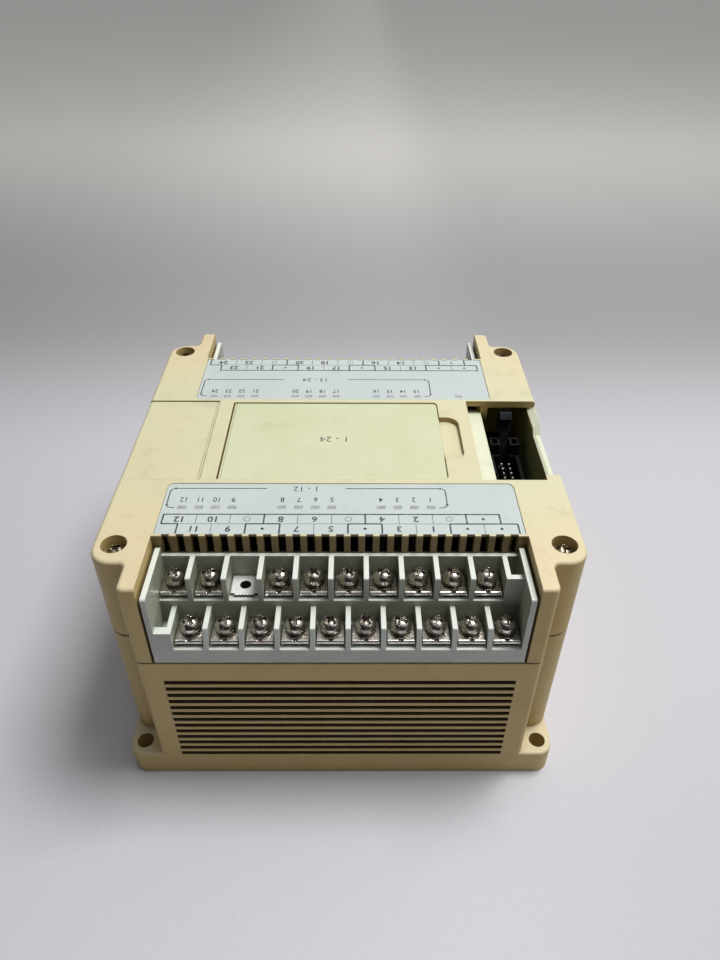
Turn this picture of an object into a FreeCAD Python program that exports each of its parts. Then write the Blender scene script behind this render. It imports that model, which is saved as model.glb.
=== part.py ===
import FreeCAD, Part
import math
import os

# Relay output expansion module of a programmable controller.
# Frame: millimetres, X to the right, Y away from the front terminals, Z up.
# The origin is the centre of the underside.

os.makedirs("parts", exist_ok=True)

# ---------------------------------------------------------------- driving dimensions

HALF_WIDTH = 66.0            # side faces
HALF_DEPTH = 69.0            # vented end faces
POST_HALF_DEPTH = 59.3       # corner posts stand back from the end faces
CENTRE_HALF_WIDTH = 56.0     # the wide middle part that reaches the end faces
TOP_Z = 83.0
SEAM_Z = 54.2                # where the two case halves meet
SEAM_GAP = 0.3               # each half stands back this much from the seam
WALL = 2.4
TOP_PLATE = 2.6
POST_RADIUS = 6.0
ARM_RADIUS = 1.8
JUNCTION_RADIUS = 1.5
TOP_EDGE_RADIUS = 1.1

FLANGE_Z = 9.7
FLANGE_RADIUS = 4.5
EAR_HOLE_X = 61.7
EAR_HOLE_Y = 64.1
EAR_HOLE_RADIUS = 2.5

FLOOR_Z = 3.0
RAIL_HALF_WIDTH = 17.8
RAIL_DEPTH = 7.1
RAIL_LIP_Z = 5.8
RAIL_LIP_REACH = 2.2
RAISED_FLOOR_Z = 10.0
RAISED_FLOOR_HALF = 20.2

VENT_COUNT = 13
VENT_FIRST_Z = 10.6
VENT_PITCH = 2.925
VENT_HEIGHT = 1.6
VENT_HALF_LENGTH = 49.4

CASE_SCREW_X = 60.3
CASE_SCREW_FRONT_Y = -52.2
CASE_SCREW_REAR_Y = 54.1
CASE_SCREW_SEAT_Z = 79.3
CASE_SCREW_END_Z = 46.0
CASE_SCREW_RECESS = 3.5
CASE_SCREW_HEAD = (2.65, 2.4)    # radius and height

RECESS_HALF_WIDTH = 51.2     # open trough for each terminal block
RECESS_Y = 49.0
RECESS_WALL = 2.0
COMB_COUNT = 25
COMB_PITCH = 3.95
COMB_WIDTH = 2.15
COMB_BOTTOM_Z = 75.5
COMB_TOP_Z = 82.1            # only a thin web stands over each slot, under the label
COMB_NOTCH_Y = 48.1

LABEL_DEPTH = 0.4
LABEL_THICKNESS = 0.28
LABEL_HALF_WIDTH = 50.7
LABEL_GAP = 0.12
LABEL_CORNER = 2.0
FRONT_LABEL_Y = (-48.2, -26.1)
REAR_LABEL_Y = (20.4, 48.2)

MARK_GROUPS = 3
MARKS_PER_GROUP = 4
MARK_FIRST_X = -44.9
MARK_GROUP_PITCH = 28.2
MARK_PITCH = 4.73
MARK_SIZE = (2.4, 1.4)
FRONT_MARK_Y = -36.9
REAR_MARK_Y = 22.5
POWER_MARK_X = 40.0

LID_X = (-36.85, 31.8)
LID_Y = (-23.9, 18.1)
LID_Z = (80.8, 82.7)
LID_GAP = 0.2
LID_HINGE_GAP = 0.4          # room for the hinge edge to swing
LID_PIVOT_X = -35.85
LID_PIVOT_Z = 81.8
LID_STUB_RADIUS = 0.70
LID_SOCKET_RADIUS = 0.76
LID_STUB_LENGTH = 1.5
LID_SOCKET_LENGTH = 1.9
LID_EDGE_RADIUS = 0.3
LID_SOFT_EDGE = 0.15
FINE_LINE = (0.2, 0.15)      # width and depth of the fine groove along the lid's and the cover's edge
FINE_LINE_SETBACK = 0.7      # from that edge to the groove
LID_OPENING_X = (-33.0, 27.5)
LID_OPENING_Y = (-20.0, 14.0)
LID_SEAT_Z = 80.7
LID_PAN_Z = 78.4
SCOOP_X = (29.5, 38.1)
SCOOP_Y = (-14.3, 9.2)
SCOOP_CORNER_RADIUS = 4.0
SCOOP_RAMP_Y = -9.0          # its floor slopes down from the front edge to here
SCOOP_DEPTH = (1.4, 1.7)     # depth at the foot of the ramp and at the rear

BAY_X = (42.0, 63.6)
BAY_Y = (-24.3, 19.3)
BAY_LEDGE_X = 47.65
BAY_LEDGE_Z = 78.3
BAY_SIDE_Z = 77.6
BAY_RAMP = ((6.6, 77.6), (11.1, 83.0))
BAY_SLOPE_Z = (79.4, 81.0)   # inner and outer height of the side wall's sloping top behind the ramp
BAY_LUG_X = 61.3
BAY_LUG_Y = -21.8            # the front part reaches back over the side wall to here
BAY_TAB_X = (43.0, 47.5)
BAY_TAB_TOP_Z = 81.0
COVER_GAP = 0.2
COVER_TOP_Z = 82.65
COVER_THICKNESS = 2.2

TERMINAL_PITCH = 9.5
TERMINALS_PER_ROW = 10
UPPER_FIRST_X = -45.1
LOWER_FIRST_X = -40.45
UPPER_SCREW_Y = -54.0
LOWER_SCREW_Y = -63.6
UPPER_FLOOR_Z = 68.6
LOWER_FLOOR_Z = 60.0
POCKET_WIDTH = 8.1
BLOCK_HALF_WIDTH = 50.4
BLOCK_INNER_HALF = 48.95
BARE_TERMINAL = 2            # the upper front terminal that has lost its screw

PLATE_THICKNESS = 0.8
CLAMP_THICKNESS = 1.4
SPRING_THICKNESS = 1.1
SHANK_RADIUS = 1.5
THREAD_HOLE_RADIUS = 1.52
THREAD_COLLAR_RADIUS = 2.3
THREAD_COLLAR_DEPTH = 2.0
WASHER_HOLE_RADIUS = 1.62
TERMINAL_HEAD_RADIUS = 2.78
TERMINAL_HEAD_HEIGHT = 2.9
TERMINAL_SHANK_DEPTH = 4.5
LEG_TIP_Z = 51.4

BOARD_THICKNESS = 1.6
RELAY_BOARD_Z = 12.0
LOGIC_BOARD_Z = 55.3
TERMINAL_BOARD_Z = 52.7
STANDOFF_X = 44.5
STANDOFF_Y = 8.6
LINK_Y = 48.5
LINK_RADIUS = 0.4

RELAY_SIZE = (19.0, 15.2, 15.3)
RELAY_PITCH_X = 19.8
RELAY_ROWS_Y = (-35.8, -19.8, 19.8, 35.8)
RELAY_COLUMNS = 6

HEADER_X = 55.8
HEADER_Y = -2.5
HEADER_HALF_WIDTH = 5.0
HEADER_HALF_LENGTH = 14.0
HEADER_TOP_Z = 66.9
TOWER_TOP_Z = 71.1
TOWER_Y = (12.7, 17.2)       # measured from the header's middle
TOWER_SLOT_HALF = 1.7
PIN_PITCH = 2.54
PIN_PAIRS = 8
PIN_TIP_Z = 66.0
PIN_BOTTOM_Z = 53.4
PIN_HALF = 0.32
PIN_CHAMFER = 0.15

LEVER_PIVOT_Y = 15.1         # measured from the header's middle
LEVER_PIVOT_Z = 62.0
LEVER_LENGTH = 18.5
LEVER_HALF_WIDTHS = (1.4, 2.05)    # of its stem and of its finger pad
LEVER_LEAN = 20.0            # degrees open at rest
LEVER_PIN_RADIUS = 0.90
LEVER_SOCKET_RADIUS = 0.96

LATCH_HALF_WIDTH = 8.0
LATCH_Z = (1.0, 3.6)
LATCH_Y = (15.9, 68.2)
LATCH_GAP = 0.2
LATCH_LIP = 1.6
LATCH_NOSE_Z = 5.6

ORIGIN = FreeCAD.Vector(0, 0, 0)
ALONG_X = FreeCAD.Vector(1, 0, 0)
ALONG_Y = FreeCAD.Vector(0, 1, 0)
ALONG_Z = FreeCAD.Vector(0, 0, 1)
DIAGONAL = FreeCAD.Vector(1, 1, 1)
OVERRUN = 0.1                # how far a cutting tool runs past the face it opens
MERGE = 0.2                  # how far a joined piece sinks into its neighbour


# ---------------------------------------------------------------- small shape helpers

def block(x0, x1, y0, y1, z0, z1):
    """A plain box between two opposite corners."""
    return Part.makeBox(x1 - x0, y1 - y0, z1 - z0, FreeCAD.Vector(x0, y0, z0))


def rod_z(x, y, z0, z1, radius):
    """A round bar standing along Z."""
    return Part.makeCylinder(radius, z1 - z0, FreeCAD.Vector(x, y, z0), ALONG_Z)


def rod_y(x, z, y0, y1, radius):
    """A round bar lying along Y."""
    return Part.makeCylinder(radius, y1 - y0, FreeCAD.Vector(x, y0, z), ALONG_Y)


def rod_x(y, z, x0, x1, radius):
    """A round bar lying along X."""
    return Part.makeCylinder(radius, x1 - x0, FreeCAD.Vector(x0, y, z), ALONG_X)


def rounded_face(points, radii):
    """A flat face inside the closed outline, with each corner rounded by its own radius."""
    corners = [FreeCAD.Vector(a, b, 0) for a, b in points]
    count = len(corners)
    pieces = []
    for i in range(count):
        corner = corners[i]
        before = (corners[i - 1] - corner).normalize()
        after = (corners[(i + 1) % count] - corner).normalize()
        radius = radii[i]
        if radius <= 0:
            pieces.append((corner, None, corner))
            continue
        half_angle = before.getAngle(after) / 2
        setback = radius / math.tan(half_angle)
        middle = (before + after).normalize() * (radius / math.sin(half_angle) - radius)
        pieces.append((corner + before * setback, corner + middle, corner + after * setback))
    edges = []
    for i in range(count):
        start, middle, end = pieces[i]
        if middle is not None:
            edges.append(Part.Arc(start, middle, end).toShape())
        following = pieces[(i + 1) % count][0]
        if (following - end).Length > 1e-6:
            edges.append(Part.makeLine(end, following))
    return Part.Face(Part.Wire(edges))


def prism_z(points, radii, z0, z1):
    """An outline in X and Y, drawn out along Z."""
    face = rounded_face(points, radii)
    face.translate(FreeCAD.Vector(0, 0, z0))
    return face.extrude(FreeCAD.Vector(0, 0, z1 - z0))


def prism_x(points, radii, x0, x1):
    """An outline in Y and Z, drawn out along X."""
    solid = prism_z(points, radii, x0, x1)
    solid.rotate(ORIGIN, DIAGONAL, 120)
    return solid


def prism_y(points, radii, y0, y1):
    """An outline in X and Z, drawn out along Y."""
    swapped = [(z, x) for x, z in points]
    solid = prism_z(swapped, radii, y0, y1)
    solid.rotate(ORIGIN, DIAGONAL, 240)
    return solid


def rectangle(x0, x1, y0, y1):
    """The four corners of a rectangle, front left first, anticlockwise."""
    return [(x0, y0), (x1, y0), (x1, y1), (x0, y1)]


def rounded_block(x0, x1, y0, y1, z0, z1, radius):
    """A box with its four upright edges rounded."""
    return prism_z(rectangle(x0, x1, y0, y1), [radius] * 4, z0, z1)


def moved(shape, x, y, z):
    """A copy of the shape, shifted."""
    copy = shape.copy()
    copy.translate(FreeCAD.Vector(x, y, z))
    return copy


def half_turn(shape):
    """A copy of the shape turned half a turn about the vertical middle line."""
    copy = shape.copy()
    copy.rotate(ORIGIN, ALONG_Z, 180)
    return copy


def mirrored_x(shape):
    """A copy of the shape mirrored to the other side."""
    return shape.mirror(ORIGIN, ALONG_X)


def edges_at_height(shape, height):
    """The edges that lie entirely at one height."""
    found = []
    for edge in shape.Edges:
        if all(abs(vertex.Z - height) < 1e-4 for vertex in edge.Vertexes):
            found.append(edge)
    return found


def four_corners(x, y):
    """The same place in all four quarters."""
    return [(x, y), (-x, y), (-x, -y), (x, -y)]


def case_screw_places():
    """Where the four long case screws stand."""
    return [
        (CASE_SCREW_X, CASE_SCREW_REAR_Y), (-CASE_SCREW_X, CASE_SCREW_REAR_Y),
        (-CASE_SCREW_X, CASE_SCREW_FRONT_Y), (CASE_SCREW_X, CASE_SCREW_FRONT_Y),
    ]


def save(name, shape):
    """Write one named piece, which may hold several equal solids."""
    shape.exportStep("parts/" + name + ".step")
    print(name, "solids", len(shape.Solids), "valid", shape.isValid(), "volume", round(shape.Volume, 1))


# ---------------------------------------------------------------- shared outlines

def case_outline(inset):
    """Plan of the case: a deep middle part with four corner posts set back."""
    cx = CENTRE_HALF_WIDTH - inset
    cy = HALF_DEPTH - inset
    px = HALF_WIDTH - inset
    py = POST_HALF_DEPTH - inset
    return [
        (-cx, -cy), (cx, -cy), (cx, -py), (px, -py), (px, py), (cx, py),
        (cx, cy), (-cx, cy), (-cx, py), (-px, py), (-px, -py), (-cx, -py),
    ]


def case_prism(inset, z0, z1):
    """The case plan drawn up between two heights, with softened corners."""
    arm = max(ARM_RADIUS - inset, 0.6)
    post = max(POST_RADIUS - inset, 0.6)
    radii = [arm, arm, JUNCTION_RADIUS, post, post, JUNCTION_RADIUS] * 2
    return prism_z(case_outline(inset), radii, z0, z1)


def mark_positions_x():
    """Where the indicator marks stand along the case."""
    places = []
    for group in range(MARK_GROUPS):
        for step in range(MARKS_PER_GROUP):
            places.append(MARK_FIRST_X + group * MARK_GROUP_PITCH + step * MARK_PITCH)
    return places


FRONT_MARKS = [(x, FRONT_MARK_Y) for x in mark_positions_x()]
REAR_MARKS = [(x, REAR_MARK_Y) for x in mark_positions_x() + [POWER_MARK_X]]


def mark_block(x, y, z0, z1, clearance):
    """A small oblong window or bar at one indicator mark."""
    half_x = MARK_SIZE[0] / 2 + clearance
    half_y = MARK_SIZE[1] / 2 + clearance
    return block(x - half_x, x + half_x, y - half_y, y + half_y, z0, z1)


def terminal_places():
    """X, Y and floor height of each terminal of the front block."""
    places = []
    for i in range(TERMINALS_PER_ROW):
        places.append((UPPER_FIRST_X + i * TERMINAL_PITCH, UPPER_SCREW_Y, UPPER_FLOOR_Z))
    for i in range(TERMINALS_PER_ROW):
        places.append((LOWER_FIRST_X + i * TERMINAL_PITCH, LOWER_SCREW_Y, LOWER_FLOOR_Z))
    return places


# ---------------------------------------------------------------- base case

LATCH_CHANNEL_X = LATCH_HALF_WIDTH + LATCH_GAP
LATCH_CHANNEL_Z = (LATCH_Z[0] - LATCH_GAP, LATCH_Z[1] + LATCH_GAP)
LATCH_NOSE_POCKET_Y = 23.2
LATCH_ROOF_WALL = 2.2
LATCH_ROOF_HALF = 10.6
BOARD_BOSS_PLACES = four_corners(56.0, 42.0) + [(0.0, 42.0), (0.0, -42.0)]
BOARD_BOSS_RADIUS = 2.6
STANDOFF_BOSS_RADIUS = 3.4
STANDOFF_PILOT_Z = 8.0
CASE_BOSS_RADIUS = 4.4
CASE_PILOT_RADIUS = 1.55
CASE_PILOT_Z = 42.0
TERMINAL_LEDGE_Z = (50.6, TERMINAL_BOARD_Z)
TERMINAL_LEDGE = 1.6         # how far the ledge under a terminal board reaches inwards
END_RIB_X = (-33.0, 0.0, 33.0)
END_RIB_HALF = 0.8
END_RIB_DEPTH = 1.8
END_RIB_Z = (7.0, 50.0)
TONGUE_X = (WALL - 1.3, WALL)
TONGUE_Z = (50.0, 55.9)
TONGUE_HALF_LENGTH = 44.0


def vent_slots(y0, y1):
    """The stack of long level slots in one end wall."""
    slots = []
    for i in range(VENT_COUNT):
        z = VENT_FIRST_Z + i * VENT_PITCH
        slots.append(
            block(-VENT_HALF_LENGTH, VENT_HALF_LENGTH, y0, y1, z - VENT_HEIGHT / 2, z + VENT_HEIGHT / 2)
        )
    return slots


def base_case():
    """Lower half: mounting flange with four ears, vented ends, rail groove and screw bosses."""
    flange = rounded_block(
        -HALF_WIDTH, HALF_WIDTH, -HALF_DEPTH, HALF_DEPTH, 0, FLANGE_Z, FLANGE_RADIUS
    )
    flange = flange.makeFillet(0.9, edges_at_height(flange, FLANGE_Z))
    body = case_prism(0, 0, SEAM_Z - SEAM_GAP)
    shell = body.fuse(flange)
    cavity = case_prism(WALL, FLOOR_Z, SEAM_Z)
    shell = shell.cut(cavity)

    inner_x = HALF_WIDTH - WALL
    inner_y = HALF_DEPTH - WALL
    in_floor = FLOOR_Z - 2.0
    additions = [
        block(-inner_x - MERGE, inner_x + MERGE, -RAISED_FLOOR_HALF, RAISED_FLOOR_HALF,
              in_floor, RAISED_FLOOR_Z),
        block(-LATCH_ROOF_HALF, LATCH_ROOF_HALF, RAIL_HALF_WIDTH, inner_y + MERGE,
              in_floor, LATCH_CHANNEL_Z[1] + LATCH_ROOF_WALL),
        block(-LATCH_ROOF_HALF, LATCH_ROOF_HALF, RAIL_HALF_WIDTH, LATCH_NOSE_POCKET_Y + LATCH_ROOF_WALL,
              in_floor, RAISED_FLOOR_Z),
    ]
    for x, y in case_screw_places():
        additions.append(rod_z(x, y, in_floor, SEAM_Z, CASE_BOSS_RADIUS))
    for x, y in four_corners(STANDOFF_X, STANDOFF_Y):
        additions.append(rod_z(x, y, RAISED_FLOOR_Z - 1.0, RELAY_BOARD_Z, STANDOFF_BOSS_RADIUS))
    for x, y in BOARD_BOSS_PLACES:
        additions.append(rod_z(x, y, in_floor, RELAY_BOARD_Z, BOARD_BOSS_RADIUS))
    centre_inner = CENTRE_HALF_WIDTH - WALL
    for end in (-1, 1):
        outer = end * (inner_y + MERGE)
        inner = end * (inner_y - TERMINAL_LEDGE)
        additions.append(
            block(-centre_inner - MERGE, centre_inner + MERGE, min(outer, inner), max(outer, inner),
                  TERMINAL_LEDGE_Z[0], TERMINAL_LEDGE_Z[1])
        )
        for side in (-1, 1):
            x_edges = sorted((side * (centre_inner + MERGE), side * (centre_inner - TERMINAL_LEDGE)))
            y_edges = sorted((end * (POST_HALF_DEPTH - WALL + 1.0), end * inner_y))
            additions.append(
                block(x_edges[0], x_edges[1], y_edges[0], y_edges[1],
                      TERMINAL_LEDGE_Z[0], TERMINAL_LEDGE_Z[1])
            )
    for side in (-1, 1):
        x_edges = sorted((side * (HALF_WIDTH - TONGUE_X[0]), side * (HALF_WIDTH - TONGUE_X[1])))
        additions.append(
            block(x_edges[0], x_edges[1], -TONGUE_HALF_LENGTH, TONGUE_HALF_LENGTH,
                  TONGUE_Z[0], TONGUE_Z[1])
        )
    shell = shell.fuse(additions)

    cuts = []
    lip_y = -(RAIL_HALF_WIDTH - RAIL_LIP_REACH)
    groove = [
        (lip_y, -OVERRUN), (RAIL_HALF_WIDTH, -OVERRUN), (RAIL_HALF_WIDTH, RAIL_DEPTH),
        (-RAIL_HALF_WIDTH, RAIL_DEPTH), (-RAIL_HALF_WIDTH, RAIL_LIP_Z), (lip_y, RAIL_LIP_Z),
    ]
    cuts.append(prism_x(groove, [0] * 6, -HALF_WIDTH - 1, HALF_WIDTH + 1))
    cuts.append(
        block(-LATCH_CHANNEL_X, LATCH_CHANNEL_X, RAIL_HALF_WIDTH - 0.5, HALF_DEPTH + 1,
              LATCH_CHANNEL_Z[0], LATCH_CHANNEL_Z[1])
    )
    slot_half = LATCH_CHANNEL_X - LATCH_LIP
    cuts.append(block(-slot_half, slot_half, RAIL_HALF_WIDTH - 0.5, HALF_DEPTH + 1, -OVERRUN, 2.0))
    cuts.append(
        block(-LATCH_CHANNEL_X, LATCH_CHANNEL_X, RAIL_HALF_WIDTH - 0.5, LATCH_NOSE_POCKET_Y,
              2.0, LATCH_NOSE_Z + LATCH_GAP)
    )
    for x, y in four_corners(EAR_HOLE_X, EAR_HOLE_Y):
        cuts.append(rod_z(x, y, -1, FLANGE_Z + 1, EAR_HOLE_RADIUS))
    for x, y in case_screw_places():
        cuts.append(rod_z(x, y, CASE_PILOT_Z, SEAM_Z + 1, CASE_PILOT_RADIUS))
    for x, y in four_corners(STANDOFF_X, STANDOFF_Y):
        cuts.append(rod_z(x, y, STANDOFF_PILOT_Z, RELAY_BOARD_Z + 1, CASE_PILOT_RADIUS))
    cuts += vent_slots(-HALF_DEPTH - 1, -inner_y)
    cuts += vent_slots(inner_y, HALF_DEPTH + 1)
    shell = shell.cut(cuts)

    ribs = []
    for x in END_RIB_X:
        for end in (-1, 1):
            y_edges = sorted((end * inner_y, end * (inner_y - END_RIB_DEPTH)))
            ribs.append(
                block(x - END_RIB_HALF, x + END_RIB_HALF, y_edges[0], y_edges[1], END_RIB_Z[0], END_RIB_Z[1])
            )
    shell = shell.fuse(ribs)
    return shell.removeSplitter()


# ---------------------------------------------------------------- top case

TOP_BOSS_RADIUS = 4.6
SCREW_CLEARANCE_RADIUS = 1.7
BAY_BACK_WALL = 2.0
BAY_RIB_X = 50.0
BAY_DIVIDER = 1.0
BAY_DIVIDER_BOTTOM_Z = 60.5
BAY_CROSS_WALLS_Y = (-34.0, 34.0)
LID_PAN_X = (-39.5, 40.3)    # thicker floor under the lid and its finger scoop
LID_PAN_MARGIN = 2.6
RECESS_WALL_BOTTOM_Z = 56.5


def comb_slots(end):
    """The row of slots at the head of one terminal recess: a notch in the top, a window below it."""
    slots = []
    first = -COMB_PITCH * (COMB_COUNT - 1) / 2
    for i in range(COMB_COUNT):
        x = first + i * COMB_PITCH
        notch_y = sorted((end * COMB_NOTCH_Y, end * (RECESS_Y + 1)))
        window_y = sorted((end * (RECESS_Y - RECESS_WALL - 0.5), end * (RECESS_Y + 1)))
        x0 = x - COMB_WIDTH / 2
        x1 = x + COMB_WIDTH / 2
        slots.append(block(x0, x1, notch_y[0], notch_y[1], COMB_TOP_Z - 0.5, TOP_Z + 1))
        slots.append(block(x0, x1, window_y[0], window_y[1], COMB_BOTTOM_Z, COMB_TOP_Z))
    return slots


def bay_support():
    """Extra wall under the top plate that carries the ledge of the right-hand bay."""
    floor_z = BAY_LEDGE_Z - TOP_PLATE
    return block(
        BAY_X[0] - BAY_BACK_WALL, BAY_RIB_X, BAY_Y[0] - BAY_BACK_WALL, BAY_Y[1] + BAY_BACK_WALL,
        floor_z, TOP_Z - TOP_PLATE + MERGE,
    )


def bay_side_cut():
    """What is taken off the top of the side wall beside the right-hand bay."""
    far = HALF_WIDTH + 1
    near = BAY_X[1] - 0.1
    above = TOP_Z + 1
    slope = (BAY_RAMP[1][1] - BAY_RAMP[0][1]) / (BAY_RAMP[1][0] - BAY_RAMP[0][0])
    ramp_end_y = BAY_RAMP[1][0] + (above - BAY_RAMP[1][1]) / slope
    low_part = prism_x(
        [(BAY_Y[0], BAY_SIDE_Z), BAY_RAMP[0], (ramp_end_y, above), (BAY_Y[0], above)], [0] * 4, near, far
    )
    inner_z, outer_z = BAY_SLOPE_Z
    rise = (outer_z - inner_z) / (HALF_WIDTH - BAY_X[1])
    over_slope = prism_y(
        [(near, inner_z - rise * (BAY_X[1] - near)), (far, outer_z + rise * (far - HALF_WIDTH)),
         (far, above), (near, above)],
        [0] * 4, BAY_RAMP[0][0], BAY_Y[1],
    )
    return low_part.fuse(over_slope)


def bay_lug():
    """The small corner of the front part that stays standing beside the bay."""
    return block(BAY_LUG_X, HALF_WIDTH + 2, BAY_Y[0] - 1, BAY_LUG_Y, BAY_SIDE_Z - 1, TOP_Z + 2)


def bay_cut(with_lug):
    """Everything taken away for a port bay, drawn on the right-hand side."""
    over_ledge = block(BAY_X[0], BAY_X[1], BAY_Y[0], BAY_Y[1], BAY_LEDGE_Z, TOP_Z + 1)
    opening = block(BAY_LEDGE_X, BAY_X[1], BAY_Y[0], BAY_Y[1], 60.0, TOP_Z + 1)
    tab = block(
        BAY_TAB_X[0], BAY_TAB_X[1], BAY_Y[1] - 0.5, BAY_Y[1] + BAY_BACK_WALL + 0.5,
        BAY_LEDGE_Z, BAY_TAB_TOP_Z,
    )
    open_space = over_ledge.fuse([opening, bay_side_cut()])
    if with_lug:
        open_space = open_space.cut(bay_lug())
    return open_space.fuse(tab)


def bay_divider():
    """The upright wall under the top plate between the right-hand bay and the middle of the case."""
    wall_y = RECESS_Y - RECESS_WALL + MERGE
    return block(
        BAY_LEDGE_X - BAY_DIVIDER, BAY_LEDGE_X, -wall_y, wall_y,
        BAY_DIVIDER_BOTTOM_Z, TOP_Z - TOP_PLATE + MERGE,
    )


def bay_cross_wall(y):
    """A wall across the space beside the right-hand divider, clear of the swinging levers."""
    return block(
        BAY_LEDGE_X - BAY_DIVIDER, HALF_WIDTH - WALL + MERGE, y - BAY_DIVIDER / 2, y + BAY_DIVIDER / 2,
        BAY_DIVIDER_BOTTOM_Z, TOP_Z - TOP_PLATE + MERGE,
    )


def top_case():
    """Upper half: corner posts, terminal recesses, label windows, lid seat and two port bays."""
    outer = case_prism(0, SEAM_Z + SEAM_GAP, TOP_Z)
    outer = outer.makeFillet(TOP_EDGE_RADIUS, edges_at_height(outer, TOP_Z))
    plate_under = TOP_Z - TOP_PLATE
    inner_x = HALF_WIDTH - WALL
    wall_y = RECESS_Y - RECESS_WALL
    pocket_x = RECESS_HALF_WIDTH + RECESS_WALL
    pocket_y = POST_HALF_DEPTH - WALL
    below = SEAM_Z - 1
    hollow = [block(-inner_x, inner_x, -wall_y, wall_y, below, plate_under)]
    for end in (-1, 1):
        for side in (-1, 1):
            x_edges = sorted((side * pocket_x, side * inner_x))
            y_edges = sorted((end * (wall_y - 1), end * pocket_y))
            corner_radii = [0, 0, 0, 0]
            corners = rectangle(x_edges[0], x_edges[1], y_edges[0], y_edges[1])
            for k in range(4):
                if abs(corners[k][0]) == inner_x and abs(corners[k][1]) == pocket_y:
                    corner_radii[k] = POST_RADIUS - WALL
            hollow.append(prism_z(corners, corner_radii, below, plate_under))
        trough = sorted((end * RECESS_Y, end * (HALF_DEPTH + 1)))
        hollow.append(
            block(-RECESS_HALF_WIDTH, RECESS_HALF_WIDTH, trough[0], trough[1], below, TOP_Z + 1)
        )
        under_wall = sorted((end * (wall_y - 1), end * (RECESS_Y + 1)))
        hollow.append(
            block(-RECESS_HALF_WIDTH, RECESS_HALF_WIDTH, under_wall[0], under_wall[1],
                  below, RECESS_WALL_BOTTOM_Z)
        )
    shell = outer.cut(hollow)

    additions = [
        block(LID_PAN_X[0], LID_PAN_X[1], LID_Y[0] - LID_PAN_MARGIN, LID_Y[1] + LID_PAN_MARGIN,
              LID_PAN_Z, plate_under + MERGE),
        bay_support(),
        mirrored_x(bay_support()),
        bay_divider(),
        mirrored_x(bay_divider()),
    ]
    for y in BAY_CROSS_WALLS_Y:
        additions += [bay_cross_wall(y), mirrored_x(bay_cross_wall(y))]
    for x, y in case_screw_places():
        additions.append(rod_z(x, y, SEAM_Z, plate_under + MERGE, TOP_BOSS_RADIUS))
    shell = shell.fuse(additions)

    lid_recess = prism_z(
        rectangle(LID_X[0] - LID_HINGE_GAP, LID_X[1] + LID_GAP, LID_Y[0] - LID_GAP, LID_Y[1] + LID_GAP),
        [0.4, 1.7, 1.7, 0.4], LID_SEAT_Z, TOP_Z + 1,
    )
    x0, x1 = SCOOP_X
    y0, y1 = SCOOP_Y
    scoop_floor = [
        (y0, TOP_Z), (SCOOP_RAMP_Y, TOP_Z - SCOOP_DEPTH[0]), (y1, TOP_Z - SCOOP_DEPTH[1]),
        (y1, TOP_Z + OVERRUN), (y0, TOP_Z + OVERRUN),
    ]
    scoop_sides = prism_z(
        rectangle(x0, x1, y0, y1), [0, SCOOP_CORNER_RADIUS, SCOOP_CORNER_RADIUS, 0],
        TOP_Z - TOP_PLATE, TOP_Z + OVERRUN,
    )
    scoop = prism_x(scoop_floor, [0, 2.0, 0, 0, 0], x0, x1).common(scoop_sides)
    opening = rounded_block(
        LID_OPENING_X[0], LID_OPENING_X[1], LID_OPENING_Y[0], LID_OPENING_Y[1], LID_PAN_Z - 1, TOP_Z, 2.0
    )
    front_window = prism_z(
        rectangle(-LABEL_HALF_WIDTH, LABEL_HALF_WIDTH, FRONT_LABEL_Y[0], FRONT_LABEL_Y[1]),
        [0, 0, LABEL_CORNER, LABEL_CORNER], TOP_Z - LABEL_DEPTH, TOP_Z + 1,
    )
    rear_window = prism_z(
        rectangle(-LABEL_HALF_WIDTH, LABEL_HALF_WIDTH, REAR_LABEL_Y[0], REAR_LABEL_Y[1]),
        [LABEL_CORNER, LABEL_CORNER, 0, 0], TOP_Z - LABEL_DEPTH, TOP_Z + 1,
    )
    front_socket = rod_y(
        LID_PIVOT_X, LID_PIVOT_Z, LID_Y[0] - LID_SOCKET_LENGTH, LID_Y[0] + 1, LID_SOCKET_RADIUS
    )
    rear_socket = rod_y(
        LID_PIVOT_X, LID_PIVOT_Z, LID_Y[1] - 1, LID_Y[1] + LID_SOCKET_LENGTH, LID_SOCKET_RADIUS
    )
    cuts = [lid_recess, scoop, opening, front_window, rear_window, front_socket, rear_socket]
    cuts += [bay_cut(True), mirrored_x(bay_cut(False))]
    cuts += comb_slots(-1)
    cuts += comb_slots(1)
    for x, y in FRONT_MARKS + REAR_MARKS:
        cuts.append(mark_block(x, y, plate_under - 1, TOP_Z + 1, 0))
    for x, y in case_screw_places():
        cuts.append(rod_z(x, y, SEAM_Z - 1, TOP_Z + 1, SCREW_CLEARANCE_RADIUS))
        cuts.append(rod_z(x, y, CASE_SCREW_SEAT_Z, TOP_Z + 1, CASE_SCREW_RECESS))
    for side in (-1, 1):
        x_edges = sorted((side * (HALF_WIDTH - TONGUE_X[0] + 0.1), side * (HALF_WIDTH - TONGUE_X[1] - 0.5)))
        cuts.append(
            block(x_edges[0], x_edges[1], -TONGUE_HALF_LENGTH - 0.2, TONGUE_HALF_LENGTH + 0.2,
                  SEAM_Z - 1, TONGUE_Z[1] + 0.2)
        )
    shell = shell.cut(cuts)
    return shell.removeSplitter()


# ---------------------------------------------------------------- lid, cover and labels

def fine_line(x, top_z):
    """The cutter for a fine groove along Y in a top face."""
    width, depth = FINE_LINE
    return block(x - width / 2, x + width / 2, BAY_Y[0] - 1, BAY_Y[1] + 1, top_z - depth, top_z + 1)


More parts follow.
